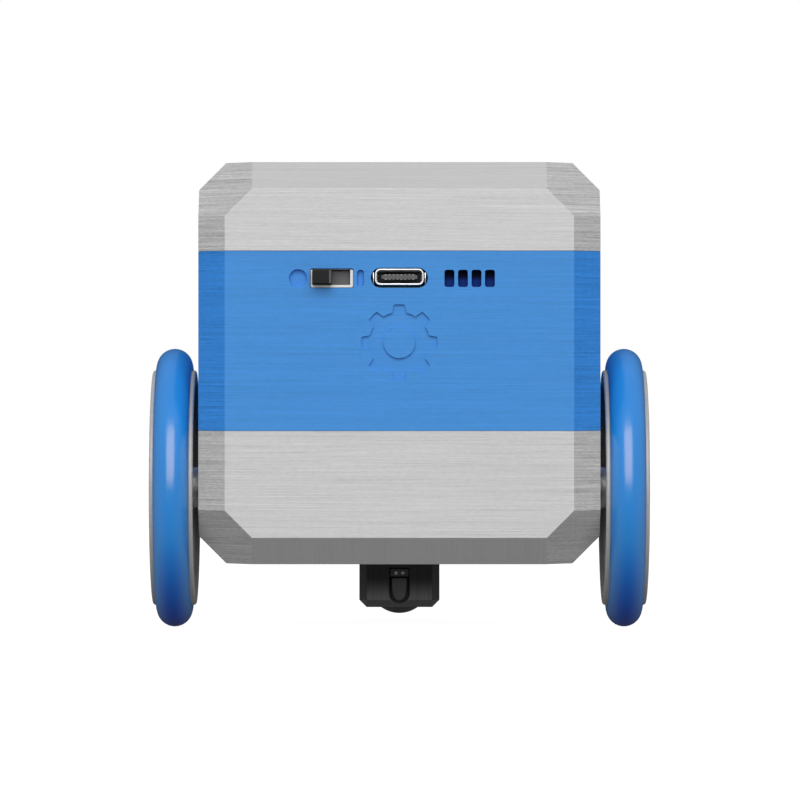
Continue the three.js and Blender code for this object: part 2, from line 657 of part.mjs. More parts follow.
function indicatorWindow(x) {
  const outline = roundRect(x, WINDOW_Z, WINDOW_WIDTH, WINDOW_HEIGHT, WINDOW_CORNER);
  return prismY(outline, REAR_Y + WINDOW_RECESS, BEZEL_BACK_Y);
}

function sonarBoard() {
  const ys = [SONAR_BOARD_Y, SONAR_BOARD_Y + BOARD_THICK];
  return box([-TAIL_HALF, TAIL_HALF], ys, [SONAR_Z - SONAR_R - SONAR_BOARD_FOOT, SONAR_Z + SONAR_R]);
}

// An open-fronted can with the transducer's cone inside.
function sonarCan(side) {
  const x = side * SONAR_X;
  const front = HALF + SONAR_PROUD;
  const back = SONAR_BOARD_Y + BOARD_THICK + FIT;
  const can = rodY(x, SONAR_Z, back, front, SONAR_R, 28);
  const mouth = rodY(x, SONAR_Z, front - SONAR_MOUTH, front + PAST, SONAR_R - SONAR_WALL, 28);
  const [coneFrom, coneTo] = [front - SONAR_MOUTH - PAST, front - SONAR_CONE_DEPTH];
  const cone = rodY(x, SONAR_Z, coneFrom, coneTo, SONAR_CONE_R, 14);
  return join(cut(can, mouth), cone);
}

function batteryCell() {
  return rodX(-CELL_HALF, CELL_HALF, CELL_Y, CELL_Z, CELL_R, 32);
}

function batteryTray() {
  const [half, foot] = [TRAY_HALF, TRAY_FOOT_HALF];
  const base = FLOOR_Z + FIT;
  const section = [
    [-half, TRAY_TOP_Z], [-half, base + half - foot], [-foot, base],
    [foot, base], [half, base + half - foot], [half, TRAY_TOP_Z],
  ];
  const outline = new THREE.Shape(section.map(([x, z]) => new THREE.Vector2(x, z)));
  const seatHalf = CELL_HALF + 2 * CELL_FIT;
  const seat = rodX(-seatHalf, seatHalf, CELL_Y, CELL_Z, CELL_R + CELL_FIT, 32);
  return cut(prismY(outline, ...TRAY_Y), seat);
}

// ---------------------------------------------------------------- drive, on side +1 or -1
function wheelRim(side) {
  const dip = Math.asin((TYRE_RING_R - RIM_R) / (TYRE_TUBE_R + FIT));
  const groove = arcPoints(
    WHEEL_X, TYRE_RING_R, TYRE_TUBE_R + FIT, Math.PI + dip, 2 * Math.PI - dip, 6,
  );
  const [inner, outer] = [WHEEL_X - RIM_HALF, WHEEL_X + RIM_HALF];
  const [lip, slope, bore] = [0.25, 0.5, AXLE_R + FIT];
  const [bossFace, counterboreR] = [outer - RIM_BOSS_STEP, WHEEL_SCREW_HEAD_R + 0.3];
  const profile = [
    [HUB_END_X, bore],
    [HUB_END_X, HUB_R],
    [inner + INNER_DISH, HUB_R],
    [inner + INNER_DISH, RIM_DISH_R - slope],
    [inner, RIM_DISH_R],
    [inner, RIM_R - lip],
    [inner + lip, RIM_R],
    ...groove,
    [outer - lip, RIM_R],
    [outer, RIM_R - lip],
    [outer, RIM_DISH_R],
    [outer - OUTER_DISH, RIM_DISH_R - slope],
    [outer - OUTER_DISH, RIM_BOSS_R + RIM_BOSS_STEP],
    [bossFace, RIM_BOSS_R],
    [bossFace, counterboreR],
    [COUNTERBORE_X, counterboreR],
    [COUNTERBORE_X, bore],
  ];
  return turnedX(profile, side);
}

function tyre(side) {
  const section = arcPoints(WHEEL_X, TYRE_RING_R, TYRE_TUBE_R, 0, Math.PI * 2, 12).slice(0, -1);
  return turnedX(section, side);
}

function axle(side) {
  const rod = rodX(side * AXLE_FROM_X, side * AXLE_TO_X, AXLE_Y, AXLE_Z, AXLE_R);
  const [from, to] = [AXLE_TO_X - WHEEL_SCREW_LENGTH - PAST, AXLE_TO_X + PAST];
  return cut(rod, rodX(side * from, side * to, AXLE_Y, AXLE_Z, WHEEL_SCREW_R + FIT, 12));
}

function wheelScrew(side) {
  const seat = COUNTERBORE_X + SEATED;
  const [from, to] = [seat - WHEEL_SCREW_LENGTH, seat + ROOT];
  const head = rodX(side * seat, side * (seat + WHEEL_SCREW_HEAD), AXLE_Y, AXLE_Z, WHEEL_SCREW_HEAD_R);
  return join(head, rodX(side * from, side * to, AXLE_Y, AXLE_Z, WHEEL_SCREW_R, 12));
}

function axleBushing(side) {
  const bore = AXLE_R + FIT;
  const seat = INNER - FIT;
  const profile = [
    [seat - BUSHING_FLANGE, bore], [seat - BUSHING_FLANGE, BUSHING_FLANGE_R], [seat, BUSHING_FLANGE_R],
    [seat, BUSHING_R], [HALF, BUSHING_R], [HALF, bore],
  ];
  return turnedX(profile, side, 16);
}

function driveGear(side) {
  const outline = gearOutline(GEAR_TEETH, 0, AXLE_Y, AXLE_Z);
  const wheel = prismX(outline, side * GEAR_FROM_X, side * GEAR_TO_X);
  return cut(wheel, rodX(0, side * HALF, AXLE_Y, AXLE_Z, AXLE_R + FIT / 2));
}

function motorPinion(side) {
  const outline = gearOutline(PINION_TEETH, Math.PI / PINION_TEETH, AXLE_Y, MOTOR_Z);
  const wheel = prismX(outline, side * (GEAR_FROM_X + FIT), side * (GEAR_TO_X - FIT));
  return cut(wheel, rodX(0, side * HALF, AXLE_Y, MOTOR_Z, MOTOR_SHAFT_R + FIT / 2, 12));
}

function motorShaft(side) {
  const [from, to] = [MOTOR_TO_X - MOTOR_SHAFT_IN, GEAR_TO_X + MOTOR_SHAFT_TIP];
  return rodX(side * from, side * to, AXLE_Y, MOTOR_Z, MOTOR_SHAFT_R, 12);
}

function motorCan(side) {
  const can = rodX(side * MOTOR_FROM_X, side * MOTOR_TO_X, AXLE_Y, MOTOR_Z, MOTOR_R, 32);
  const bossEnd = MOTOR_TO_X + MOTOR_BOSS;
  const boss = rodX(side * (MOTOR_TO_X - ROOT), side * bossEnd, AXLE_Y, MOTOR_Z, MOTOR_BOSS_R);
  const boreFrom = MOTOR_TO_X - MOTOR_SHAFT_IN - 2 * FIT;
  const bore = rodX(side * boreFrom, side * (bossEnd + PAST), AXLE_Y, MOTOR_Z, MOTOR_SHAFT_R + FIT, 12);
  const [y0, y1] = [AXLE_Y - MOTOR_R - PAST, AXLE_Y + MOTOR_R + PAST];
  const flats = [-1, 1].map((way) => {
    const zs = [MOTOR_Z + way * MOTOR_FLAT, MOTOR_Z + way * BODY].sort((a, b) => a - b);
    return box([-HALF, HALF], [y0, y1], zs);
  });
  return cut(join(can, boss), bore, ...flats);
}

function motorBracket(side) {
  const outline = new THREE.Shape();
  outline.moveTo(AXLE_Y - MOTOR_R, FLOOR_Z + FIT);
  outline.lineTo(AXLE_Y + MOTOR_R, FLOOR_Z + FIT);
  outline.lineTo(AXLE_Y + MOTOR_R, MOTOR_Z);
  outline.absarc(AXLE_Y, MOTOR_Z, MOTOR_R, 0, Math.PI);
  const plate = prismX(outline, side * BRACKET_FROM_X, side * BRACKET_TO_X, 12);
  const foot = box(
    [side * BRACKET_FOOT_X, side * BRACKET_TO_X].sort((a, b) => a - b),
    [AXLE_Y - MOTOR_R, AXLE_Y + MOTOR_R],
    [FLOOR_Z + FIT, FLOOR_Z + FIT + BRACKET_FOOT],
  );
  const bores = [
    rodX(0, side * HALF, AXLE_Y, AXLE_Z, AXLE_R + FIT),
    rodX(0, side * HALF, AXLE_Y, MOTOR_Z, MOTOR_BOSS_R + FIT),
  ];
  return cut(join(plate, foot), ...bores);
}

// ---------------------------------------------------------------- ball caster
const casterScrewPlaces = [[-CASTER_SCREW_X, CASTER_SCREW_Y], [CASTER_SCREW_X, CASTER_SCREW_Y]];
const rivetPlaces = [-RIVET_X, RIVET_X];
const slotFloor = CASTER_FROM_Y + LATCH_DEPTH - FIT;

function casterSphere(radius) {
  return solid(new THREE.SphereGeometry(radius, 20, 12).translate(0, BALL_Y, BALL_Z));
}

function casterHousing() {
  const [xs, ys] = [[-CASTER_HALF_X, CASTER_HALF_X], [CASTER_FROM_Y, CASTER_TO_Y]];
  const block = chamferedBox(xs, ys, [CASTER_Z, BOTTOM_Z + 2 * CASTER_EDGE], CASTER_EDGE);
  const crown = rodZ(0, BALL_Y, BOTTOM_Z - PAST, FLOOR_Z - CROWN_GAP, CROWN_R, 20);
  const [slotEnd, slotTop] = LATCH_SLOT_Z;
  const slot = new THREE.Shape();
  slot.moveTo(LATCH_SLOT_HALF, slotTop);
  slot.lineTo(-LATCH_SLOT_HALF, slotTop);
  slot.absarc(0, slotEnd, LATCH_SLOT_HALF, Math.PI, 2 * Math.PI);
  const slotCut = prismY(slot, CASTER_FROM_Y - PAST, CASTER_FROM_Y + LATCH_DEPTH, 8);
  const pilotEnd = CASTER_SEAT_Z - CASTER_SCREW_LENGTH - ROOT;
  const pilots = casterScrewPlaces.map(([x, y]) => {
    return rodZ(x, y, pilotEnd, BOTTOM_Z + PAST, CASTER_SCREW_R + FIT, 12);
  });
  const shaped = join(cut(block, slab(BOTTOM_Z - FIT, TOP_Z)), crown);
  return cut(shaped, casterSphere(SOCKET_R), slotCut, ...pilots);
}

// The strip that the latch's tongue hangs from, held by two rivets in the slot's floor.
function latchPlate() {
  const [z0, z1] = [LATCH_HINGE_Z + LATCH_GAP, LATCH_SLOT_Z[1] - LATCH_GAP];
  const plate = box([-LATCH_PLATE_HALF, LATCH_PLATE_HALF], [LATCH_PLATE_Y, slotFloor], [z0, z1]);
  return cut(plate, ...rivetPlaces.map((x) => rodY(x, RIVET_Z, 0, HALF, RIVET_R + FIT, 10)));
}

function latchRivet(x) {
  const [from, to] = RIVET_HEAD_Y;
  const head = rodY(x, RIVET_Z, from, to, RIVET_HEAD_R, 12);
  return join(head, rodY(x, RIVET_Z, (from + to) / 2, slotFloor, RIVET_R, 10));
}

// A tapered tongue with a round end, pushed in with a fingertip to free the caster.
function latchTongue() {
  const outline = new THREE.Shape();
  outline.moveTo(LATCH_TONGUE_HALF, LATCH_HINGE_Z);
  outline.lineTo(-LATCH_TONGUE_HALF, LATCH_HINGE_Z);
  outline.lineTo(-LATCH_TIP_R, LATCH_TIP_Z);
  outline.absarc(0, LATCH_TIP_Z, LATCH_TIP_R, Math.PI, 2 * Math.PI);
  return prismY(outline, ...LATCH_TONGUE_Y, 8);
}

// ---------------------------------------------------------------- leads inside the body
const cellEnd = CELL_HALF - 2;

function batteryLead() {
  const top = CELL_Z + CELL_R;
  const start = [[cellEnd - 4, 18, top - 0.5], [cellEnd - 4, 21, top + 6]];
  return tube([...start, [20, 19, 50], [20, 17, LEAD_TOP_Z]], BATTERY_LEAD_R);
}

function motorLead(side) {
  const x = side * (MOTOR_FROM_X + 5);
  return tube([[x, 0.9, MOTOR_Z], [x, 3, MOTOR_Z + 5], [x, 4, 52], [x, 3, LEAD_TOP_Z]], MOTOR_LEAD_R);
}

// ---------------------------------------------------------------- the assembly
const robot = new THREE.Group();
robot.name = "wheeled_robot";

function place(name, shape, finish) {
  const mesh = new THREE.Mesh(toGeometry(shape), new THREE.MeshStandardMaterial(finishes[finish]));
  mesh.name = name;
  robot.add(mesh);
}

place("lower_shell", lowerShell(), "grey");
place("mid_band", midBand(), "blue");
place("upper_shell", upperShell(), "grey");

corners.forEach(([sx, sy], i) => {
  place(`lower_shell_screw_${i + 1}`, shellScrew(sx * POST_XY, sy * POST_XY, LOWER_HEAD_Z), "darkSteel");
  place(`upper_shell_screw_${i + 1}`, shellScrew(sx * POST_XY, sy * POST_XY, UPPER_HEAD_Z), "darkSteel");
});

place("main_board", mainBoard(), "board");
boardScrewPlaces.forEach(([x, y], i) => {
  const head = [BOARD_SCREW_HEAD_R, BOARD_SCREW_HEAD];
  const screw = downScrew(x, y, BOARD_TOP_Z + SEATED, head, BOARD_SCREW_R, BOARD_SCREW_LENGTH);
  place(`board_screw_${i + 1}`, screw, "steel");
});
place("switch_bezel", switchBezel(), "steel");
place("switch_body", switchBody(), "slate");
place("switch_knob", switchKnob(), "black");
place("usb_c_shell", usbShell(), "steel");
place("usb_c_tongue", usbTongue(), "slate");
WINDOW_X.forEach((x, i) => place(`indicator_window_${i + 1}`, indicatorWindow(x), "navy"));
place("sonar_board", sonarBoard(), "board");
place("battery_tray", batteryTray(), "black");
place("battery_cell", batteryCell(), "cell");
place("battery_lead", batteryLead(), "lead");

for (const [side, name] of [[-1, "left"], [1, "right"]]) {
  place(`wheel_rim_${name}`, wheelRim(side), "grey");
  place(`tyre_${name}`, tyre(side), "tyre");
  place(`axle_${name}`, axle(side), "steel");
  place(`wheel_screw_${name}`, wheelScrew(side), "steel");
  place(`axle_bushing_${name}`, axleBushing(side), "brass");
  place(`drive_gear_${name}`, driveGear(side), "gear");
  place(`motor_pinion_${name}`, motorPinion(side), "brass");
  place(`motor_shaft_${name}`, motorShaft(side), "steel");
  place(`motor_can_${name}`, motorCan(side), "steel");
  place(`motor_bracket_${name}`, motorBracket(side), "black");
  place(`motor_lead_${name}`, motorLead(side), "lead");
  place(`sonar_can_${name}`, sonarCan(side), "steel");
}

place("caster_housing", casterHousing(), "black");
place("caster_ball", casterSphere(BALL_R), "black");
casterScrewPlaces.forEach(([x, y], i) => {
  const head = [CASTER_SCREW_HEAD_R, CASTER_SCREW_HEAD];
  const screw = downScrew(x, y, CASTER_SEAT_Z + SEATED, head, CASTER_SCREW_R, CASTER_SCREW_LENGTH);
  place(`caster_screw_${i + 1}`, screw, "steel");
});
place("latch_plate", latchPlate(), "black");
rivetPlaces.forEach((x, i) => place(`latch_rivet_${i + 1}`, latchRivet(x), "steel"));
place("latch_tongue", latchTongue(), "black");

export default robot;
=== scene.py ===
"""Looks for the two-wheeled classroom robot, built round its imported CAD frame. Metres, +Z up."""

import json
import math

import bmesh
import bpy
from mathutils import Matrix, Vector


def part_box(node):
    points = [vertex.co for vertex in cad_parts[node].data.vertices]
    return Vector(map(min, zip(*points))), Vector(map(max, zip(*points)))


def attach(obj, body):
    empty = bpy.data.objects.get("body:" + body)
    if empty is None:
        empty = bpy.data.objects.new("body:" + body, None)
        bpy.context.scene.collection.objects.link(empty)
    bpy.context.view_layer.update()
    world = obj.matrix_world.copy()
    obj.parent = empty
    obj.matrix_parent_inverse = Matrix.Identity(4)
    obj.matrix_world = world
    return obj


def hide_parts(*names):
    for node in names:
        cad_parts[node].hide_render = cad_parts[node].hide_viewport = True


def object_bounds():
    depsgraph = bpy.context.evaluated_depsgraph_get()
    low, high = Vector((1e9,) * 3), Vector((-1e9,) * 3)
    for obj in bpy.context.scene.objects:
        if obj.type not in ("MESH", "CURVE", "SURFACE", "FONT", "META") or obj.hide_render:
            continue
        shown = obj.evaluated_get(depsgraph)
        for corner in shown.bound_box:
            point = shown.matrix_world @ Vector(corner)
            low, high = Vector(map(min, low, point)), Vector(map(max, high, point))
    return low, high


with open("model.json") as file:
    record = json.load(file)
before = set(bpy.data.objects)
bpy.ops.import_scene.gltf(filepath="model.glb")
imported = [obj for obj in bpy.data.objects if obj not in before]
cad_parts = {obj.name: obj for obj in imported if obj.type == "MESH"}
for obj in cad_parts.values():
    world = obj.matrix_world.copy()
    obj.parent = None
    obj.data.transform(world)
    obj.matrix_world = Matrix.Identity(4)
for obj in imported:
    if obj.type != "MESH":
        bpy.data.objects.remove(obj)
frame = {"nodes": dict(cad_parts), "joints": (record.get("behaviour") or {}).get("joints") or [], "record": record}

CAD_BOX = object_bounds()
MM = 0.001


# ---------------------------------------------------------------- places read from the frame
def middle(node):
    low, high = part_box(node)
    return (low + high) / 2


def size(node):
    low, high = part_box(node)
    return high - low


JOINTS = {joint["name"]: joint for joint in frame["joints"]}
LOWER_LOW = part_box("lower_shell")[0]
UPPER_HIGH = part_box("upper_shell")[1]
BAND_LOW, BAND_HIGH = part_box("mid_band")
HALF = BAND_HIGH.x
REAR_Y = BAND_LOW.y
FRONT_Y = BAND_HIGH.y
BODY_Z = (LOWER_LOW.z + UPPER_HIGH.z) / 2
EDGE = 5 * MM  # chamfer leg of the body


# ---------------------------------------------------------------- mesh tools
def new_object(name, mesh):
    piece = bpy.data.objects.new(name, mesh)
    bpy.context.scene.collection.objects.link(piece)
    return piece


def from_bmesh(name, bm):
    bmesh.ops.recalc_face_normals(bm, faces=bm.faces)
    mesh = bpy.data.meshes.new(name)
    bm.to_mesh(mesh)
    bm.free()
    return new_object(name, mesh)


WELD = 1e-7  # points nearer than this are one


def revolve(name, profile, centre, axis, steps, side=1):
    """A closed profile of (along, radius) points turned about X or Y, through centre."""
    bm = bmesh.new()
    count = len(profile)
    rings = []
    for step in range(steps):
        angle = 2 * math.pi * step / steps
        ring = []
        for along, radius in profile:
            p, q = radius * math.cos(angle), radius * math.sin(angle)
            reach = side * along
            place = (reach, p, q) if axis == "X" else (p, reach, q)
            ring.append(bm.verts.new(Vector(place) + Vector(centre)))
        rings.append(ring)
    for step in range(steps):
        one, two = rings[step], rings[(step + 1) % steps]
        for i in range(count):
            j = (i + 1) % count
            bm.faces.new((one[i], one[j], two[j], two[i]))
    bmesh.ops.remove_doubles(bm, verts=bm.verts, dist=WELD)
    on_axis = [edge for edge in bm.edges if not edge.link_faces]
    bmesh.ops.delete(bm, geom=on_axis, context="EDGES")
    return from_bmesh(name, bm)


def arc(centre, radius, start, end, steps):
    """Points (along, radius) on an arc, with its angles in degrees."""
    points = []
    for i in range(steps + 1):
        angle = math.radians(start + (end - start) * i / steps)
        points.append((centre[0] + radius * math.cos(angle), centre[1] + radius * math.sin(angle)))
    return points


def rounded(points, radius, steps=3):
    """The same closed outline with its sharp corners rounded."""
    nearly_straight, largest_share = math.radians(150), 0.45
    result = []
    count = len(points)
    for i, corner in enumerate(points):
        corner = Vector(corner)
        before = Vector(points[i - 1]) - corner
        after = Vector(points[(i + 1) % count]) - corner
        if before.angle(after) > nearly_straight:
            result.append(tuple(corner))
            continue
        reach = min(radius, before.length * largest_share, after.length * largest_share)
        start = corner + before.normalized() * reach
        end = corner + after.normalized() * reach
        for k in range(steps + 1):
            t = k / steps
            result.append(tuple(start * (1 - t) ** 2 + corner * 2 * t * (1 - t) + end * t**2))
    return result


def round_rect(centre, width, height, radius, steps=8):
    """Outline of a rectangle with round corners, as (across, up) points."""
    points = []
    for quarter, (sx, sy) in enumerate(((1, -1), (1, 1), (-1, 1), (-1, -1))):
        middle_x = centre[0] + sx * (width / 2 - radius)
        middle_y = centre[1] + sy * (height / 2 - radius)
        points += arc((middle_x, middle_y), radius, 90 * (quarter - 1), 90 * quarter, steps)
    return points


def disc(centre, radius, steps=64):
    return arc(centre, radius, 0, 360 * (steps - 1) / steps, steps - 1)


def prism(name, outline, low, high, axis="Y", far_outline=None):
    """A closed outline run from low to high along Y or Z, where it may end in another."""
    bm = bmesh.new()
    ends = []
    for along, shape in ((low, outline), (high, far_outline or outline)):
        places = [(a, along, b) if axis == "Y" else (a, b, along) for a, b in shape]
        ends.append([bm.verts.new(place) for place in places])
    bm.faces.new(ends[0])
    bm.faces.new(ends[1])
    count = len(outline)
    for i in range(count):
        j = (i + 1) % count
        bm.faces.new((ends[0][i], ends[0][j], ends[1][j], ends[1][i]))
    return from_bmesh(name, bm)


def box(name, low, high):
    outline = [(low[0], low[1]), (high[0], low[1]), (high[0], high[1]), (low[0], high[1])]
    return prism(name, outline, low[2], high[2], "Z")


def sphere(name, centre, radius):
    steps = 96
    bm = bmesh.new()
    bmesh.ops.create_uvsphere(bm, u_segments=steps, v_segments=steps // 2, radius=radius)
    bmesh.ops.translate(bm, verts=bm.verts, vec=centre)
    return from_bmesh(name, bm)


def merge(name, parts):
    """Several separate meshes as one object, with their materials kept."""
    bm = bmesh.new()
    materials = []
    for part in parts:
        start = len(bm.faces)
        bm.from_mesh(part.data)
        bm.faces.ensure_lookup_table()
        own = [slot.material for slot in part.material_slots] or [None]
        for face in bm.faces[start:]:
            material = own[min(face.material_index, len(own) - 1)]
            if material not in materials:
                materials.append(material)
            face.material_index = materials.index(material)
        drop(part)
    mesh = bpy.data.meshes.new(name)
    bm.to_mesh(mesh)
    bm.free()
    for material in materials:
        if material:
            mesh.materials.append(material)
    return new_object(name, mesh)


def drop(piece):
    mesh = piece.data
    bpy.data.objects.remove(piece)
    bpy.data.meshes.remove(mesh)


def settle(piece):
    """Applies the piece's modifiers to its mesh."""
    bpy.context.view_layer.update()
    evaluated = piece.evaluated_get(bpy.context.evaluated_depsgraph_get())
    mesh = bpy.data.meshes.new_from_object(evaluated)
    old = piece.data
    piece.modifiers.clear()
    piece.data = mesh
    bpy.data.meshes.remove(old)


def combine(piece, tools, operation="DIFFERENCE"):
    for tool in tools:
        modifier = piece.modifiers.new("combine", "BOOLEAN")
        modifier.object = tool
        modifier.operation = operation
        modifier.solver = "EXACT"
        modifier.use_self = True
        settle(piece)
        drop(tool)
    return piece


def copy_of(node):
    """A welded copy of a CAD node's mesh, to refine and show in its place."""
    bm = bmesh.new()
    bm.from_mesh(frame["nodes"][node].data)
    bmesh.ops.remove_doubles(bm, verts=bm.verts, dist=10 * WELD)
    return from_bmesh(node + "_fine", bm)


def soften(piece, wanted, width, segments=2):
    """Rounds the sharp edges that wanted(edge) picks."""
    bm = bmesh.new()
    bm.from_mesh(piece.data)
    bmesh.ops.remove_doubles(bm, verts=bm.verts, dist=20 * WELD)
    flat, sharp = math.radians(0.5), math.radians(25)
    bmesh.ops.dissolve_limit(bm, angle_limit=flat, verts=bm.verts, edges=bm.edges)
    edges = [
        edge for edge in bm.edges
        if len(edge.link_faces) == 2 and edge.calc_face_angle(0) > sharp and wanted(edge)
    ]
    bmesh.ops.bevel(
        bm, geom=edges, offset=width, segments=segments, profile=0.5, affect="EDGES",
        clamp_overlap=True,
    )
    bm.to_mesh(piece.data)
    bm.free()
    return piece


def shade(piece, angle=38):
    """Smooth shading that keeps corners sharp and flat faces flat."""
    mesh = piece.data
    mesh.shade_smooth()
    mesh.set_sharp_from_angle(angle=math.radians(angle))
    even = piece.modifiers.new("even_shading", "WEIGHTED_NORMAL")
    even.keep_sharp = True
    return piece


def every_edge(_edge):
    return True


def show(piece, body, slot, material, *nodes):
    """Gives a piece its body and its material, and hides the CAD nodes it stands for; its slot is not used."""
    if material:
        piece.data.materials.clear()
        piece.data.materials.append(material)
    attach(piece, body)
    if nodes:
        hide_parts(*nodes)
    return piece


# ---------------------------------------------------------------- materials
class Recipe:
    """A node material with one Principled shader."""

    def __init__(self, name, roughness, metallic=0.0, coat=0.0, coat_roughness=0.1):
        self.material = bpy.data.materials.new(name)
        self.material.use_nodes = True
        self.tree = self.material.node_tree
        self.shader = self.tree.nodes["Principled BSDF"]
        self.shader.inputs["Metallic"].default_value = metallic
        self.shader.inputs["Roughness"].default_value = roughness
        self.shader.inputs["Coat Weight"].default_value = coat
        self.shader.inputs["Coat Roughness"].default_value = coat_roughness
        self.place = self.node("ShaderNodeTexCoord").outputs["Object"]

    def node(self, kind, **settings):
        node = self.tree.nodes.new(kind)
        for key, value in settings.items():
            setattr(node, key, value)
        return node

    def link(self, source, target):
        if hasattr(source, "links"):
            self.tree.links.new(source, target)
        else:
            target.default_value = source

    def math(self, operation, one, two=0.0, three=0.0):
        node = self.node("ShaderNodeMath", operation=operation)
        for value, socket in zip((one, two, three), node.inputs):
            self.link(value, socket)
        return node.outputs[0]

    def eased(self, mask, there):
        """1 where the mask is 0, and there where it is 1."""
        return self.math("MULTIPLY_ADD", mask, there - 1.0, 1.0)

    def swing(self, value, width):
        """A value between 0 and 1 brought to the given width about 0."""
        return self.math("MULTIPLY_ADD", value, width, -width / 2)

    def stretched(self, scale):
        """The object's coordinates with each axis scaled, in turns per metre."""
        node = self.node("ShaderNodeVectorMath", operation="MULTIPLY")
        self.link(self.place, node.inputs[0])
        node.inputs[1].default_value = scale
        return node.outputs[0]

    def noise(self, scale, detail, rough=0.55):
        node = self.node("ShaderNodeTexNoise")
        self.link(self.stretched(scale), node.inputs["Vector"])
        node.inputs["Scale"].default_value = 1.0
        node.inputs["Detail"].default_value = detail
        node.inputs["Roughness"].default_value = rough
        return node.outputs["Fac"]

    def mix(self, factor, one, two):
        node = self.node("ShaderNodeMix", data_type="RGBA")
        self.link(factor, node.inputs["Factor"])
        for colour, socket in ((one, node.inputs[6]), (two, node.inputs[7])):
            self.link((*colour, 1) if isinstance(colour, tuple) else colour, socket)
        return node.outputs[2]

    def blend(self, factor, one, two):
        node = self.node("ShaderNodeMix", data_type="FLOAT")
        self.link(factor, node.inputs["Factor"])
        self.link(one, node.inputs[2])
        self.link(two, node.inputs[3])
        return node.outputs[0]

    def rise(self, low, high):
        """From 0 at one of the object's own heights to 1 at another."""
        split = self.node("ShaderNodeSeparateXYZ")
        self.link(self.place, split.inputs[0])
        ramp = self.node("ShaderNodeMapRange", interpolation_type="SMOOTHSTEP")
        for value, socket in zip((split.outputs[2], low, high), ramp.inputs):
            self.link(value, socket)
        return ramp.outputs[0]

    def colour(self, source):
        self.link(source, self.shader.inputs["Base Color"])

    def roughness(self, source):
        self.link(source, self.shader.inputs["Roughness"])

    def bump(self, height, depth, strength):
        node = self.node("ShaderNodeBump")
        node.inputs["Distance"].default_value = depth
        node.inputs["Strength"].default_value = strength
        self.link(height, node.inputs["Height"])
        self.link(node.outputs["Normal"], self.shader.inputs["Normal"])

    def facing(self):
        """How far the surface faces to either side, and how far it faces up."""
        normal = self.node("ShaderNodeNewGeometry").outputs["Normal"]
        split = self.node("ShaderNodeSeparateXYZ")
        self.link(normal, split.inputs[0])
        x, _, z = split.outputs
        return self.math("ABSOLUTE", x), z


def tint(colour, factor):
    return tuple(channel * factor for channel in colour)


LEVEL = 0.9  # a face counts as level when its normal rises or falls more than this
TILTED = 0.3  # and as tilted one way when its normal leans that way more than this


def brushed(name, colour, roughness, metallic, strength=1.0, painted_side_shade=None, specular=0.5):
    """Drawn grain in level lines, which run from front to back on level and lower faces. Slanted faces may take a
    second, darker colour as painted shade.
    """
    along, fine = 45, 6600
    short, coarse = 160, 1400
    contrast = 0.34
    recipe = Recipe(name, roughness, metallic)
    recipe.shader.inputs["Specular IOR Level"].default_value = specular
    across, up = recipe.facing()
    flat = recipe.math("GREATER_THAN", recipe.math("ABSOLUTE", up), LEVEL)
    under = recipe.math("LESS_THAN", recipe.math("ADD", up, across), -TILTED)
    upper = recipe.math("GREATER_THAN", recipe.math("SUBTRACT", up, across), TILTED)

    def drawn(length, width, *settings):
        level_lines = recipe.noise((length, length, width), *settings)
        front_to_back = recipe.noise((width, length, length), *settings)
        return recipe.blend(recipe.math("MAXIMUM", flat, under), level_lines, front_to_back)

    lines = drawn(along, fine, 2, 0.7)
    breaks = recipe.math("MULTIPLY_ADD", drawn(short, coarse, 2), 3.0, -0.6)
    speckle = recipe.swing(recipe.noise((900, 900, 3600), 2, 0.5), 0.35)
    grain = recipe.math("MULTIPLY", recipe.math("SUBTRACT", lines, 0.5), breaks)
    grain = recipe.math("ADD", grain, speckle)
    amount = recipe.math("MULTIPLY_ADD", across, 1.7, 0.95)
    amount = recipe.math("MULTIPLY", amount, recipe.eased(upper, 0.5))
    amount = recipe.math("MULTIPLY", amount, recipe.eased(under, 0.4))
    shaded = recipe.math("MULTIPLY_ADD", recipe.math("MULTIPLY", grain, amount), strength, 0.5)
    patches = recipe.swing(recipe.noise((45, 45, 60), 2, 0.5), 0.04)
    shaded = recipe.math("ADD", shaded, patches)
    darker, lighter = tint(colour, 1 - contrast), tint(colour, 1 + contrast)
    # Painted shade: slanted faces take their own, darker colour.
    if painted_side_shade:
        slanted = recipe.math("GREATER_THAN", across, TILTED)
        darker = recipe.mix(slanted, darker, tint(painted_side_shade, 1 - contrast))
        lighter = recipe.mix(slanted, lighter, tint(painted_side_shade, 1 + contrast))
    recipe.colour(recipe.mix(shaded, darker, lighter))
    recipe.roughness(recipe.math("MULTIPLY_ADD", grain, 0.2, roughness))
    recipe.bump(lines, 0.000004, 0.4)
    return recipe.material


def moulded(name, colour, roughness, grain=2600, depth=0.00001, specular=0.5, spread=0.12,
            foot=None):
    """Moulded plastic or rubber with a fine even texture; foot, when given, is painted shade on its underside."""
    recipe = Recipe(name, roughness)
    recipe.shader.inputs["Specular IOR Level"].default_value = specular
    fine = recipe.noise((grain, grain, grain), 3, 0.6)
    broad = recipe.noise((90, 90, 90), 2, 0.5)
    tone = recipe.mix(broad, tint(colour, 1 - spread), tint(colour, 1 + spread))
    if foot:
        # Painted shade: faces turned down blend towards the foot colour.
        _, up = recipe.facing()
        below = recipe.math("MAXIMUM", recipe.math("MULTIPLY_ADD", up, -1.5, -0.5), 0.0)
        tone = recipe.mix(below, tone, foot)
    recipe.colour(tone)
    recipe.roughness(recipe.math("ADD", recipe.swing(fine, 0.12), roughness))
    recipe.bump(fine, depth, 0.5)
    return recipe.material


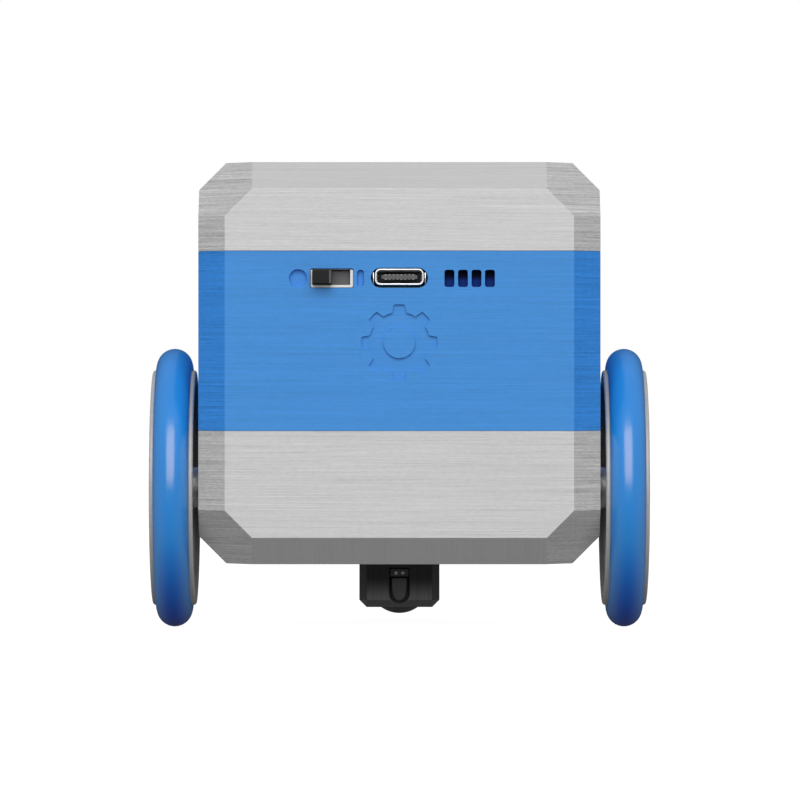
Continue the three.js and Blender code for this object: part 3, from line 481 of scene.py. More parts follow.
def ribbed(name, colour, painted_lit_colour, painted_shade_heights, roughness):
    """Black plastic with a faint upright grain; its colour is painted paler from one height to another, painted
    shade above and painted light below.
    """
    recipe = Recipe(name, roughness)
    recipe.shader.inputs["Specular IOR Level"].default_value = 0.4
    upright = recipe.noise((3600, 3600, 40), 2, 0.6)
    shaded = recipe.math("MULTIPLY_ADD", recipe.math("SUBTRACT", upright, 0.5), 1.8, 0.5)
    # Upright faces take the painted light fully, faces turned down partly, and other slanted faces little, as
    # painted shade.
    across, up = recipe.facing()
    leaning = recipe.math("MAXIMUM", across, recipe.math("ABSOLUTE", up))
    upright_face = recipe.math("LESS_THAN", leaning, TILTED)
    under = recipe.math("LESS_THAN", up, -TILTED)
    slanted_share = recipe.math("MULTIPLY_ADD", under, 0.5, 0.15)
    share = recipe.math("MAXIMUM", upright_face, slanted_share)
    painted_light = recipe.math("MULTIPLY", recipe.rise(*painted_shade_heights), share)
    darker = recipe.mix(painted_light, tint(colour, 0.5), tint(painted_lit_colour, 0.6))
    lighter = recipe.mix(painted_light, tint(colour, 1.5), tint(painted_lit_colour, 1.4))
    recipe.colour(recipe.mix(shaded, darker, lighter))
    recipe.roughness(recipe.math("ADD", recipe.swing(upright, 0.2), roughness))
    recipe.bump(upright, 0.000006, 0.5)
    return recipe.material


def metal(name, colour, roughness, scale, depth, metallic=1.0):
    """Rolled or turned metal with fine scratches and small changes of polish."""
    recipe = Recipe(name, roughness, metallic)
    scratches = recipe.noise(scale, 4, 0.6)
    broad = recipe.noise((400, 400, 400), 2, 0.5)
    recipe.colour(recipe.mix(broad, tint(colour, 0.86), tint(colour, 1.08)))
    recipe.roughness(recipe.math("ADD", recipe.swing(scratches, 0.2), roughness))
    recipe.bump(scratches, depth, 0.5)
    return recipe.material


def drawn_hub(name, colour, roughness):
    """A hub polished along its axle, so that its sheen spreads round it."""
    recipe = Recipe(name, roughness, 1.0)
    recipe.shader.inputs["Anisotropic"].default_value = 0.85
    around = recipe.node("ShaderNodeTangent", direction_type="RADIAL", axis="X")
    recipe.link(around.outputs["Tangent"], recipe.shader.inputs["Tangent"])
    lines = recipe.noise((60, 2500, 2500), 2, 0.5)
    recipe.colour(recipe.mix(lines, tint(colour, 0.9), tint(colour, 1.1)))
    return recipe.material


def smoked(name, top, foot, painted_shade_heights):
    """Smoked plastic, graded from near black at its top, painted shade under the opening's edge, to paler at its
    foot.
    """
    recipe = Recipe(name, 0.5)
    recipe.shader.inputs["Specular IOR Level"].default_value = 0.05
    fine = recipe.noise((2000, 2000, 2000), 3, 0.6)
    # Painted shade: near black at the top, grading to the foot colour.
    shaded = recipe.math("ADD", recipe.rise(*painted_shade_heights), recipe.swing(fine, 0.12))
    recipe.colour(recipe.mix(shaded, top, foot))
    recipe.bump(fine, 0.000002, 0.5)
    return recipe.material


def circuit_board(name):
    """Green solder mask with paler tracks under it."""
    recipe = Recipe(name, 0.35, 0.0, 0.4, 0.15)
    tracks = recipe.node("ShaderNodeTexBrick")
    recipe.link(recipe.stretched((500, 500, 500)), tracks.inputs["Vector"])
    tracks.inputs["Color1"].default_value = (0.012, 0.085, 0.045, 1)
    tracks.inputs["Color2"].default_value = (0.016, 0.11, 0.06, 1)
    tracks.inputs["Mortar"].default_value = (0.03, 0.2, 0.1, 1)
    tracks.inputs["Scale"].default_value = 1.0
    tracks.inputs["Mortar Size"].default_value = 0.04
    weave = recipe.noise((1500, 1500, 1500), 2, 0.5)
    glint = recipe.math("MULTIPLY", weave, 0.3)
    recipe.colour(recipe.mix(glint, tracks.outputs["Color"], (0.03, 0.16, 0.08)))
    recipe.bump(tracks.outputs["Fac"], 0.00002, 0.4)
    return recipe.material


FLAT_ROLLED = (1500, 200, 1500)  # scratches along Y, in turns per metre
GREY = brushed("grey_shell", (0.60, 0.60, 0.60), 0.5, 0.25)
# The blue band's slanted faces get a darker, deeper blue as painted shade.
BLUE = brushed("blue_band", (0.056, 0.285, 0.72), 0.45, 0.0, 0.8, (0.034, 0.26, 0.77), 0.25)
RIM = brushed("grey_rim", (0.49, 0.49, 0.50), 0.45, 0.1, 0.5, None, 0.3)
HUB = drawn_hub("hub_metal", (0.95, 0.95, 0.95), 0.28)
# The tyre's deeper blue on faces turned down is painted shade.
TYRE = moulded("blue_tyre", (0.018, 0.268, 0.765), 0.24, 700, 0.000002, 1.0, 0.05,
               (0.001, 0.07, 0.64))
TYRE_SHADER = TYRE.node_tree.nodes["Principled BSDF"]
TYRE_SHADER.inputs["Specular Tint"].default_value = (1.0, 0.72, 0.34, 1)
BLACK = moulded("black_plastic", (0.075, 0.075, 0.076), 0.4, 2400, 0.000004)
LATCH = moulded("latch_plastic", (0.092, 0.092, 0.093), 0.45, 2400, 0.000004)
CASTER_EDGE = 1.4 * MM  # chamfer leg of the caster's housing
# The caster's colour grade: painted shade next to the body, paler painted light towards the floor.
PAINTED_SHADE_FULL_Z = LOWER_LOW.z - 4 * MM
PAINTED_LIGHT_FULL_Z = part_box("caster_housing")[0].z + CASTER_EDGE
CASTER = ribbed("ribbed_black", (0.026, 0.026, 0.027), (0.175, 0.175, 0.176),
                (PAINTED_SHADE_FULL_Z, PAINTED_LIGHT_FULL_Z), 0.5)
KNOB = moulded("knob_plastic", (0.008, 0.008, 0.009), 0.5, 3000, 0.000006, 0.2)
SLATE = moulded("slate_plastic", (0.115, 0.115, 0.117), 0.55, 3000, 0.000004, 0.3)
WINDOW_LOW, WINDOW_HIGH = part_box("indicator_window_1")
WINDOW_END = 0.9 * MM  # the even part at a window's top and at its foot
# The windows' tops are painted near black as painted shade; they grade to navy at their foot.
NAVY = smoked("smoked_window", (0.0002, 0.0006, 0.014), (0.0070, 0.030, 0.17),
              (WINDOW_HIGH.z - WINDOW_END, WINDOW_LOW.z + WINDOW_END))
NYLON = moulded("gear_nylon", (0.78, 0.76, 0.68), 0.5)
SLEEVE = moulded("cell_sleeve", (0.02, 0.22, 0.14), 0.35, 900, 0.00002, 0.5, 0.3)
LEAD = moulded("lead_sheath", (0.42, 0.02, 0.015), 0.4, 2000, 0.00001, 0.5, 0.2)
STEEL = metal("nickel_plate", (0.82, 0.83, 0.85), 0.3, FLAT_ROLLED, 0.000001)
SATIN = metal("satin_nickel", (0.78, 0.78, 0.78), 0.5, FLAT_ROLLED, 0.000001, 0.25)
DARK_STEEL = metal("black_zinc", (0.16, 0.165, 0.17), 0.38, FLAT_ROLLED, 0.000001)
BRASS = metal("turned_brass", (0.72, 0.50, 0.20), 0.3, (2500, 100, 100), 0.000002)
CAN = metal("motor_plate", (0.62, 0.63, 0.65), 0.36, (200, 2500, 2500), 0.000002)
BOARD = circuit_board("solder_mask")

BY_SLOT = {
    "shell_grey": GREY, "band_blue": BLUE, "rim_grey": RIM, "tyre_blue": TYRE,
    "black_plastic": BLACK, "slate_plastic": SLATE, "window_navy": NAVY, "nickel_steel": STEEL,
    "screw_steel": DARK_STEEL, "brass_metal": BRASS, "motor_metal": CAN,
    "board_green": BOARD, "gear_nylon": NYLON, "cell_wrap": SLEEVE, "lead_red": LEAD,
}
for entry in frame["record"]["subparts"]:
    node_mesh = frame["nodes"][entry["node"]].data
    node_mesh.materials.clear()
    node_mesh.materials.append(BY_SLOT[entry["material_slot"]])


# ---------------------------------------------------------------- body shells
def depth_in_body(point):
    """How far a point lies inside the body's outer faces."""
    u, v, w = HALF - abs(point.x), HALF - abs(point.y), HALF - abs(point.z - BODY_Z)
    slopes = [(u + v - EDGE), (v + w - EDGE), (u + w - EDGE)]
    corner = (u + v + w - 3 * EDGE) / math.sqrt(3)
    return min(u, v, w, corner, *(slope / math.sqrt(2) for slope in slopes))


def outside_faces(edge):
    near = 0.01 * MM
    if any(abs(depth_in_body(vert.co)) > near for vert in edge.verts):
        return 0
    return sum(abs(depth_in_body(face.calc_center_median())) < near for face in edge.link_faces)


def body_edge(edge):
    """An edge between two of the body's outer faces."""
    return outside_faces(edge) == 2


def rim_edge(edge):
    """An edge where an outer face drops into an opening, a pocket or a seam."""
    return outside_faces(edge) == 1


def finish_shell(shell):
    soften(shell, body_edge, 0.04 * MM)
    soften(shell, rim_edge, 0.03 * MM)
    return shade(shell)


def lower_shell():
    """The lower shell, with the bores of its screws cut round instead of many-sided."""
    bore, head = 3.05 * MM, 1.9 * MM
    shell = copy_of("lower_shell")
    bores = []
    for number in range(1, 5):
        screw = f"lower_shell_screw_{number}"
        head_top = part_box(screw)[0].z + head
        outline = disc(middle(screw).xy, bore)
        bores.append(prism("bore", outline, LOWER_LOW.z - MM, head_top, "Z"))
    combine(shell, [merge("bores", bores)])
    show(finish_shell(shell), "chassis", "shell_grey", GREY, "lower_shell")


def upper_shell():
    shell = copy_of("upper_shell")
    show(finish_shell(shell), "chassis", "shell_grey", GREY, "upper_shell")


ENGRAVED = 0.5 * MM
MARK_DEPTH = 1.0 * MM
OFF_MARK_X, ON_MARK_X = -18.57 * MM, -7.13 * MM
OFF_MARK_WIDTH = 3.3 * MM
ON_MARK_WIDTH, ON_MARK_HEIGHT = 1.34 * MM, 3.1 * MM
PORT_DROP = 0.16 * MM  # the panel's opening lies this far below the socket in it
PORT_WIDTH, PORT_HEIGHT, PORT_CORNER = 10.44 * MM, 3.66 * MM, 1.8 * MM
WINDOW_GAP, WINDOW_CORNER = 0.22 * MM, 0.46 * MM  # of the windows' openings
EYE_RADIUS = 8.36 * MM  # of the openings for the distance sensors


def emblem_cutter():
    """A cog wheel, eight blunt teeth round a raised middle, pressed into the rear panel."""
    centre = (0, BODY_Z + 3.8 * MM)
    tip, root, hole = 6.98 * MM, 5.56 * MM, 2.95 * MM
    teeth, tooth_foot, tooth_tip, joint = 8, 13, 8.4, 0.1
    pitch = 360 / teeth
    outline = []
    for tooth in range(teeth):
        facing = 90 + pitch * tooth
        outline += arc(centre, root, facing - pitch / 2, facing - tooth_foot, 4)
        outline += arc(centre, tip, facing - tooth_tip, facing + tooth_tip, 5)
        outline += arc(centre, root, facing + tooth_foot, facing + pitch / 2 - joint, 4)
    depth = (REAR_Y - MM, REAR_Y + ENGRAVED)
    cog = prism("cog", rounded(outline, 0.12 * MM, 2), *depth)
    raised = prism("cog_middle", disc(centre, hole), REAR_Y - 2 * MM, REAR_Y + MM)
    return combine(cog, [raised])


def mark_cutter(name, centre, width, height):
    """A shallow round-ended mark whose walls slope in towards its floor."""
    slope, roundness = 0.06, 0.98
    start, end = -0.3 * MM, MARK_DEPTH
    outlines = []
    for depth in (start, end):
        inset = slope * depth
        across, up = width - 2 * inset, height - 2 * inset
        outlines.append(round_rect(centre, across, up, across / 2 * roundness, 16))
    return prism(name, outlines[0], REAR_Y + start, REAR_Y + end, "Y", outlines[1])


def mid_band():
    shell = copy_of("mid_band")
    port, switch = middle("usb_c_shell"), middle("switch_bezel")
    through = (REAR_Y - MM, REAR_Y + 3 * MM)
    place = (port.x, port.z - PORT_DROP)
    opening = round_rect(place, PORT_WIDTH, PORT_HEIGHT, PORT_CORNER, 16)
    cutters = [
        prism("port", opening, *through),
        mark_cutter("off_mark", (OFF_MARK_X, switch.z), OFF_MARK_WIDTH, OFF_MARK_WIDTH),
        mark_cutter("on_mark", (ON_MARK_X, switch.z), ON_MARK_WIDTH, ON_MARK_HEIGHT),
        emblem_cutter(),
    ]
    for number in range(1, 5):
        window = f"indicator_window_{number}"
        centre, extent = middle(window), size(window)
        width, height = extent.x + WINDOW_GAP, extent.z + WINDOW_GAP
        outline = round_rect((centre.x, centre.z), width, height, WINDOW_CORNER)
        cutters.append(prism("window", outline, *through))
    for side in ("left", "right"):
        can = middle(f"sonar_can_{side}")
        outline = disc((can.x, can.z), EYE_RADIUS, 96)
        cutters.append(prism("eye", outline, FRONT_Y - 4 * MM, FRONT_Y + MM))
    combine(shell, [merge("cutters", cutters)])
    show(finish_shell(shell), "chassis", "band_blue", BLUE, "mid_band")


lower_shell()
upper_shell()
mid_band()


# ---------------------------------------------------------------- rear panel fittings
BEZEL_WALL = {"left": 0.25 * MM, "right": 0.5 * MM, "bottom": 0.45 * MM, "top": 0.15 * MM}
BEZEL_RECESS = 0.15 * MM
TOP_RAIL_STEP = 1.5 * MM  # the top rail lies this far behind the other three
NOTCH = 0.18 * MM  # the gap over the slideway's floor that the knob's blade runs in
BLADE = (0.07 * MM, 0.15 * MM)  # top and bottom of that blade, below the slideway's top


def switch_bezel():
    """The metal frame round the slideway."""
    low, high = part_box("switch_bezel")
    centre = (low + high) / 2
    outline = round_rect((centre.x, centre.z), high.x - low.x, high.z - low.z, 0.3 * MM)
    bezel = prism("switch_bezel_fine", outline, low.y + BEZEL_RECESS, high.y)
    left, right = low.x + BEZEL_WALL["left"], high.x - BEZEL_WALL["right"]
    bottom, top = low.z + BEZEL_WALL["bottom"], high.z - BEZEL_WALL["top"]
    place = ((left + right) / 2, (bottom + top) / 2)
    window = round_rect(place, right - left, top - bottom, 0.12 * MM)
    top_rail = box("top_rail", (low.x - MM, low.y - MM, top - 0.01 * MM),
                   (high.x + MM, low.y + BEZEL_RECESS + TOP_RAIL_STEP, high.z + MM))
    combine(bezel, [prism("window", window, low.y - MM, high.y + MM), top_rail])
    soften(bezel, every_edge, 0.05 * MM)
    show(shade(bezel), "chassis", "nickel_steel", SATIN, "switch_bezel")


def switch_slideway():
    """The dark floor that the knob slides over."""
    low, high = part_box("switch_body")
    ends = 0.25 * MM
    block = box("switch_body_fine", low, high)
    slit = box("slit", (low.x + ends, low.y - MM, high.z - NOTCH),
               (high.x - ends, high.y - 0.5 * MM, high.z + MM))
    combine(block, [slit])
    soften(block, every_edge, 0.05 * MM)
    show(shade(block), "chassis", "slate_plastic", SLATE, "switch_body")


def switch_knob():
    """A black cap whose sloping end is painted grey as a painted highlight, on the blade that it slides by."""
    floor_low, floor_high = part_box("switch_body")
    back, floor_top = floor_low.y - 0.06 * MM, floor_high.z
    low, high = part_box("switch_knob")
    ramp, ramp_depth = 0.6 * MM, 0.5 * MM
    outline = [
        (low.x, low.y), (high.x - ramp, low.y), (high.x, low.y + ramp_depth),
        (high.x, back), (low.x, back),
    ]
    cap = prism("cap", outline, low.z, high.z, "Z")
    cap.data.materials.append(KNOB)
    cap.data.materials.append(SLATE)
    # Painted highlight: the sloping end's faces take the paler grey.
    for face in cap.data.polygons:
        if face.normal.x > TILTED and face.normal.y < -TILTED:
            face.material_index = 1
    soften(cap, every_edge, 0.1 * MM, 3)
    middle_x, half_blade = (low.x + high.x) / 2, 0.6 * MM
    blade = box("blade", (middle_x - half_blade, back - 0.3 * MM, floor_top - BLADE[1]),
                (middle_x + half_blade, back + 0.9 * MM, floor_top - BLADE[0]))
    blade.data.materials.append(KNOB)
    knob = combine(cap, [blade], "UNION")
    knob.name = "switch_knob_fine"
    show(shade(knob), "power_knob", "black_plastic", None, "switch_knob")


def front_edge(low):
    """Picks the edges that lie in a fitting's front face."""
    return lambda edge: max(vert.co.y for vert in edge.verts) < low.y + 0.01 * MM


def socket_shell():
    (low, high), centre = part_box("usb_c_shell"), middle("usb_c_shell")
    place = (centre.x, centre.z)
    width, height = high.x - low.x, high.z - low.z
    round_end, wall = 1.0 * MM, 0.37 * MM
    outline = round_rect(place, width, height, round_end, 16)
    shell = prism("usb_c_shell_fine", outline, low.y, high.y)
    inside = round_rect(place, width - 2 * wall, height - 2 * wall, round_end - wall, 16)
    combine(shell, [prism("hollow", inside, low.y - MM, high.y - 0.5 * MM)])
    soften(shell, front_edge(low), 0.13 * MM, 3)
    show(shade(shell), "chassis", "nickel_steel", STEEL, "usb_c_shell")


def socket_tongue():
    """The tongue in the socket's middle, with a row of contacts on either face."""
    (low, high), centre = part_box("usb_c_tongue"), middle("usb_c_shell")
    place = (centre.x, centre.z)
    half_width, half_height = 3.33 * MM, 0.38 * MM
    root_width, root_height = 8.06 * MM, 2.12 * MM
    outline = round_rect(place, 2 * half_width, 2 * half_height, 0.3 * MM)
    blade = prism("blade", outline, low.y, high.y - 0.8 * MM)
    soften(blade, front_edge(low), 0.1 * MM)
    root = round_rect(place, root_width, root_height, 0.55 * MM)
    tongue = combine(blade, [prism("root", root, high.y - MM, high.y)], "UNION")
    tongue.data.materials.append(SLATE)
    per_side, pitch, half_pad, half_thick, proud = 8, 0.72 * MM, 0.14 * MM, 0.05 * MM, 0.02 * MM
    contacts = []
    for number in range(per_side):
        for level in (-1, 1):
            x = centre.x + (number - (per_side - 1) / 2) * pitch
            z = centre.z + level * (half_height + proud)
            pad = box("contact", (x - half_pad, low.y + 0.1 * MM, z - half_thick),
                      (x + half_pad, low.y + 4 * MM, z + half_thick))
            pad.data.materials.append(CAN)
            contacts.append(pad)
    piece = merge("usb_c_tongue_fine", [tongue, *contacts])
    show(shade(piece), "chassis", "slate_plastic", None, "usb_c_tongue")


def socket_ears():
    """The thin tabs that show on either side of the socket's shell."""
    centre = middle("usb_c_shell")
    ear_reach, half_ear = 4.75 * MM, 0.1 * MM
    ears = []
    for side in (-1, 1):
        x = centre.x + side * ear_reach
        ear = box("ear", (x - half_ear, REAR_Y + 0.35 * MM, centre.z - 1.2 * MM),
                  (x + half_ear, REAR_Y + 2.2 * MM, centre.z + 0.8 * MM))
        ears.append(soften(ear, every_edge, 0.04 * MM))
    show(shade(merge("usb_c_side_tabs", ears)), "chassis", "nickel_steel", STEEL)


def indicator_windows():
    """Smoked windows, set deep enough for their tops to lie in shade, which their material also paints in as
    painted shade.
    """
    set_back, wider, corner = 0.5 * MM, 0.16 * MM, 0.44 * MM
    for number in range(1, 5):
        node = f"indicator_window_{number}"
        (low, high), centre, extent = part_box(node), middle(node), size(node)
        width, height = extent.x + wider, extent.z + wider
        outline = round_rect((centre.x, centre.z), width, height, corner)
        window = prism(node + "_fine", outline, low.y + set_back, high.y)
        soften(window, every_edge, 0.05 * MM, 3)
        show(shade(window), "chassis", "window_navy", NAVY, node)


switch_bezel()
switch_slideway()
switch_knob()
socket_shell()
socket_tongue()
socket_ears()
indicator_windows()


# ---------------------------------------------------------------- wheels
COUNTERBORE_X = 43.9 * MM  # floor of the screw's counterbore
WHEEL_STEPS = 160


def axle_centre(name):
    axle = Vector(JOINTS[f"{name}_wheel_spin"]["pos_m"])
    return Vector((0, axle.y, axle.z))


def tyre_section(name):
    """The round section's distance from the body's middle and from the axle, and its radius."""
    low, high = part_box(f"tyre_{name}")
    tube = (high.x - low.x) / 2
    return abs(low.x + high.x) / 2, (high.z - low.z) / 2 - tube, tube


def wheel_tyre(name, side):
    middle_x, ring, tube = tyre_section(name)
    section = arc((middle_x, ring), tube, 0, 350, 35)
    tyre = revolve(f"tyre_{name}_fine", section, axle_centre(name), "X", WHEEL_STEPS, side)
    tyre.visible_diffuse = False
    tyre.visible_glossy = False
    show(shade(tyre, 60), f"{name}_wheel", "tyre_blue", TYRE, f"tyre_{name}")


def wheel_rim(name, side):
    """A rim with a groove for the tyre, a dish on either side and a metal hub."""
    centre = axle_centre(name)
    middle_x, ring, tube = tyre_section(name)
    low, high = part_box(f"wheel_rim_{name}")
    outer = max(abs(low.x), abs(high.x))
    hub_end = min(abs(low.x), abs(high.x))
    inner = 2 * middle_x - outer
    top = (high.z - low.z) / 2
    groove = tube + 0.1 * MM
    dip = math.degrees(math.asin((ring - top) / groove))
    lip, slope, bore, hub = 0.25 * MM, 0.5 * MM, 2.1 * MM, 3.8 * MM
    dish, inner_dish, outer_dish = 19.3 * MM, 0.8 * MM, 0.9 * MM
    boss, boss_face, counterbore = 5 * MM, outer - 0.4 * MM, 3.5 * MM
    profile = [
        (hub_end, bore), (hub_end, hub), (inner + inner_dish, hub),
        (inner + inner_dish, dish - slope), (inner, dish), (inner, top - lip), (inner + lip, top),
        *arc((middle_x, ring), groove, 180 + dip, 360 - dip, 24),
        (outer - lip, top), (outer, top - lip), (outer, dish), (outer - outer_dish, dish - slope),
        (outer - outer_dish, boss + 0.4 * MM), (boss_face, boss), (boss_face, counterbore),
        (COUNTERBORE_X, counterbore), (COUNTERBORE_X, bore),
    ]
    profile = rounded(profile, 0.08 * MM)
    rim = revolve(f"wheel_rim_{name}_fine", profile, centre, "X", WHEEL_STEPS, side)
    rim.data.materials.append(RIM)
    rim.data.materials.append(HUB)
    for face in rim.data.polygons:
        reach = math.hypot(face.center.y - centre.y, face.center.z - centre.z)
        if reach < hub + 0.3 * MM and abs(face.center.x) < inner + inner_dish:
            face.material_index = 1
    show(shade(rim), f"{name}_wheel", "rim_grey", None, f"wheel_rim_{name}")


for name, side in (("left", -1), ("right", 1)):
    wheel_tyre(name, side)
    wheel_rim(name, side)


# ---------------------------------------------------------------- caster
def chamfered_block(name, low, high, edge):
    """A block whose edges are cut at 45 degrees and whose corners are small triangles."""
    bm = bmesh.new()
    orders = ((0, 1, 1), (1, 0, 1), (1, 1, 0))
    for corner in range(8):
        ends = [(high if corner >> axis & 1 else low)[axis] for axis in range(3)]
        ways = [-1 if corner >> axis & 1 else 1 for axis in range(3)]
        for order in orders:
            bm.verts.new([ends[a] + ways[a] * order[a] * edge for a in range(3)])
    bmesh.ops.convex_hull(bm, input=bm.verts)
    bmesh.ops.dissolve_limit(bm, angle_limit=math.radians(1), verts=bm.verts, edges=bm.edges)
    return from_bmesh(name, bm)


def caster_housing():
    """The chamfered block under the body, with the latch's slot and the ball's socket."""
    low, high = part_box("caster_housing")
    centre, radius = middle("caster_ball"), size("caster_ball").x / 2
    tall = (high.x, high.y, LOWER_LOW.z + 9 * MM)  # cut off again where it meets the body
    block = chamfered_block("caster_housing_fine", low, tall, CASTER_EDGE)
    lid = box("lid", (-HALF, 0, LOWER_LOW.z - 0.1 * MM), (HALF, HALF, LOWER_LOW.z + 12 * MM))
    combine(block, [lid])
    slot_half, slot_depth = 1.95 * MM, 2.8 * MM
    slot_end, slot_top = low.z + 2.75 * MM, LOWER_LOW.z - 2.2 * MM
    slot = [(slot_half, slot_top), (-slot_half, slot_top)]
    slot += arc((0, slot_end), slot_half, 180, 360, 24)
    combine(block, [prism("slot", slot, low.y - MM, low.y + slot_depth)])
    soften(block, every_edge, 0.16 * MM, 3)
    crown = prism("crown", disc((0, centre.y), 5 * MM), LOWER_LOW.z - 0.3 * MM, high.z, "Z")
    combine(block, [crown], "UNION")
    combine(block, [sphere("socket", centre, radius + 0.3 * MM)])
    show(shade(block), "chassis", "black_plastic", CASTER, "caster_housing")


def caster_ball():
    ball = sphere("caster_ball_fine", middle("caster_ball"), size("caster_ball").x / 2)
    show(shade(ball, 60), "ball", "black_plastic", BLACK, "caster_ball")


def latch():
    """The round-tipped tongue in the slot, and the look of the CAD's plate above it."""
    low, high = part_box("latch_tongue")
    half_top, half_tip, taper = 1.5 * MM, 1.3 * MM, high.z - 2 * MM
    outline = [(half_top, high.z), (-half_top, high.z), (-half_top, taper)]
    outline += arc((0, low.z + half_tip), half_tip, 180, 360, 20) + [(half_top, taper)]
    tongue = prism("latch_tongue_fine", outline, low.y, high.y)
    soften(tongue, every_edge, 0.2 * MM, 3)
    show(shade(tongue), "latch", "black_plastic", LATCH, "latch_tongue")
    frame["nodes"]["latch_plate"].data.materials[0] = LATCH


def latch_rivets():
    for number in (1, 2):
        node = f"latch_rivet_{number}"
        (low, high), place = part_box(node), middle(node)
        head, shank = 0.4 * MM, 0.3 * MM
        dome = arc((low.y + head, 0), head, 180, 90, 8)
        profile = dome + [(low.y + head, shank), (high.y, shank), (high.y, 0)]
        rivet = revolve(node + "_fine", profile, (place.x, 0, place.z), "Y", 32)
        show(shade(rivet), "chassis", "nickel_steel", SATIN, node)


caster_housing()
caster_ball()
latch()
latch_rivets()


# ---------------------------------------------------------------- distance sensors
def distance_sensors():
    """Each sensor: a round metal can with a woven wire screen a little inside its mouth."""
    wall, mouth = 0.6 * MM, 3 * MM
    pitch, half_wire, thickness = 0.62 * MM, 0.11 * MM, 0.2 * MM
    for side in ("left", "right"):
        node = f"sonar_can_{side}"
        (low, high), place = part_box(node), middle(node)
        radius = (high.x - low.x) / 2
        profile = [
            (low.y, 0), (low.y, radius), (high.y, radius), (high.y, radius - wall),
            (high.y - mouth, radius - wall), (high.y - mouth, 0),
        ]
        profile = [profile[0]] + rounded(profile, 0.18 * MM)[4:-4] + [profile[-1]]
        can = revolve(node + "_fine", profile, (place.x, 0, place.z), "Y", 96)
        show(shade(can), "chassis", "nickel_steel", STEEL, node)

        wires = []
        reach = radius - wall - 0.05 * MM
        count = int(reach / pitch)
        for upright in (False, True):
            y = high.y - 1.15 * MM + (thickness / 2 if upright else 0)
            for step in range(-count, count + 1):
                offset = step * pitch
                half = math.sqrt(reach**2 - offset**2)
                a, b = (offset - half_wire, offset + half_wire), (-half, half)
                (x0, x1), (z0, z1) = (a, b) if upright else (b, a)
                near = (place.x + x0, y, place.z + z0)
                far = (place.x + x1, y + thickness, place.z + z1)
                wires.append(box("wire", near, far))
        show(merge(f"sonar_mesh_{side}", wires), "chassis", "nickel_steel", DARK_STEEL)


distance_sensors()


# ---------------------------------------------------------------- stage
DISTANCE = 1.06  # from the rear panel to the lens
PIXELS_PER_METRE = 5461  # at the rear panel, in an 800-wide frame
FRAME_PX = 800
SHIFT_X, SHIFT_Y = 0.00075, -0.046  # in frame widths, brings the object where it is seen
SENSOR = 36.0


def camera():
    data = bpy.data.cameras.new("camera")
    data.sensor_width = SENSOR
    data.lens = PIXELS_PER_METRE * DISTANCE * SENSOR / FRAME_PX
    data.shift_x, data.shift_y = SHIFT_X, SHIFT_Y
    data.clip_start, data.clip_end = 0.01, 100
    cam = bpy.data.objects.new("camera", data)
    cam.location = (0, REAR_Y - DISTANCE, BODY_Z)
    cam.rotation_euler = (math.radians(90), 0, 0)
    bpy.context.scene.collection.objects.link(cam)
    bpy.context.scene.camera = cam


def softbox(name, azimuth, elevation, radiance):
    """A square softbox aimed at the body, with the angles it is seen at in degrees."""
    distance, half_angle = 3, 24
    across = 2 * distance * math.tan(math.radians(half_angle))
    data = bpy.data.lights.new(name, "AREA")
    data.shape = "RECTANGLE"
    data.size, data.size_y = across, across
    data.energy = radiance * math.pi * across * across
    lamp = bpy.data.objects.new(name, data)
    a, e = math.radians(azimuth), math.radians(elevation)
    way = Vector((math.sin(a) * math.cos(e), -math.cos(a) * math.cos(e), math.sin(e)))
    lamp.location = Vector((0, 0, BODY_Z)) + way * distance
    lamp.rotation_euler = (-way).to_track_quat("-Z", "Y").to_euler()
    lamp.visible_camera = False
    bpy.context.scene.collection.objects.link(lamp)
    return lamp


# Brightness of the room's light from each way round the object.
ROOM = {"up": 0.385, "down": 0.065, "rear": 0.175, "front": 0.05, "side": 0.46}
KEY = 3.5
FILL = 2.0


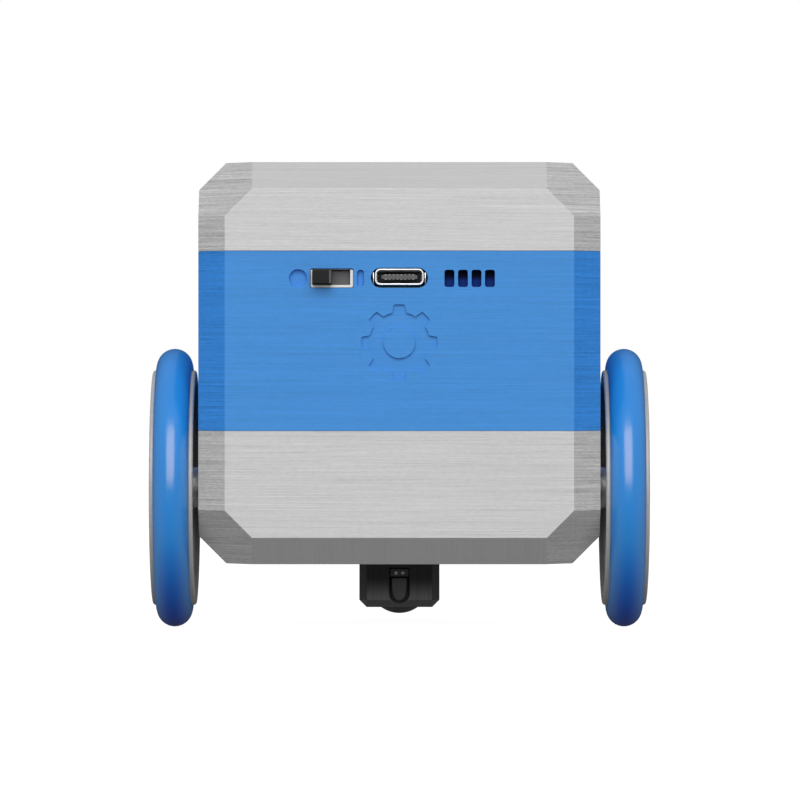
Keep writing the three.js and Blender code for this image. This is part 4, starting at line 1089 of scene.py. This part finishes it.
def surroundings():
    """A white room to the lens; to the object, a room graded from way to way."""
    world = bpy.data.worlds.new("room")
    bpy.context.scene.world = world
    world.use_nodes = True
    nodes, links = world.node_tree.nodes, world.node_tree.links
    nodes.clear()

    def math_node(operation, one, two):
        node = nodes.new("ShaderNodeMath")
        node.operation = operation
        for value, socket in zip((one, two), node.inputs):
            if hasattr(value, "links"):
                links.new(value, socket)
            else:
                socket.default_value = value
        return node.outputs[0]

    split = nodes.new("ShaderNodeSeparateXYZ")
    links.new(nodes.new("ShaderNodeTexCoord").outputs["Generated"], split.inputs[0])
    x, y, z = split.outputs
    total = math_node("MULTIPLY", math_node("MULTIPLY", x, x), ROOM["side"])
    for way, axis, sign in (("up", z, 1), ("down", z, -1), ("front", y, 1), ("rear", y, -1)):
        along = math_node("MAXIMUM", math_node("MULTIPLY", axis, sign), 0.0)
        share = math_node("MULTIPLY", math_node("MULTIPLY", along, along), ROOM[way])
        total = math_node("ADD", total, share)
    light = nodes.new("ShaderNodeBackground")
    light.inputs["Color"].default_value = (1, 1, 1, 1)
    links.new(total, light.inputs["Strength"])
    seen = nodes.new("ShaderNodeBackground")
    seen.inputs["Color"].default_value = (1, 1, 1, 1)
    choose = nodes.new("ShaderNodeMixShader")
    links.new(nodes.new("ShaderNodeLightPath").outputs["Is Camera Ray"], choose.inputs["Fac"])
    links.new(light.outputs[0], choose.inputs[1])
    links.new(seen.outputs[0], choose.inputs[2])
    out = nodes.new("ShaderNodeOutputWorld")
    links.new(choose.outputs[0], out.inputs["Surface"])


FLOOR_GLOW = 0.97


def floor():
    """A pale floor, nearly self-lit so that it stays white and takes only a faint shadow."""
    bm = bmesh.new()
    bmesh.ops.create_grid(bm, x_segments=1, y_segments=1, size=8)
    bmesh.ops.translate(bm, verts=bm.verts, vec=(0, 0, CAD_BOX[0].z - 0.05 * MM))
    ground = from_bmesh("floor", bm)
    material = bpy.data.materials.new("pale_floor")
    material.use_nodes = True
    nodes, links = material.node_tree.nodes, material.node_tree.links
    shader = nodes["Principled BSDF"]
    shader.inputs["Base Color"].default_value = (0.14, 0.14, 0.14, 1)
    shader.inputs["Roughness"].default_value = 1.0
    shader.inputs["Specular IOR Level"].default_value = 0.0
    shader.inputs["Emission Color"].default_value = (1, 1, 1, 1)
    shader.inputs["Emission Strength"].default_value = FLOOR_GLOW
    below = nodes.new("ShaderNodeMixShader")
    clear = nodes.new("ShaderNodeBsdfTransparent")
    links.new(nodes.new("ShaderNodeNewGeometry").outputs["Backfacing"], below.inputs["Fac"])
    links.new(shader.outputs["BSDF"], below.inputs[1])
    links.new(clear.outputs["BSDF"], below.inputs[2])
    links.new(below.outputs["Shader"], nodes["Material Output"].inputs["Surface"])
    ground.data.materials.append(material)
    ground.visible_diffuse = False
    ground.visible_glossy = False


camera()
surroundings()
floor()
softbox("key", 0, 29, KEY)
softbox("front_fill", 180, 45, FILL).visible_glossy = False
bpy.context.scene.view_settings.view_transform = "Standard"
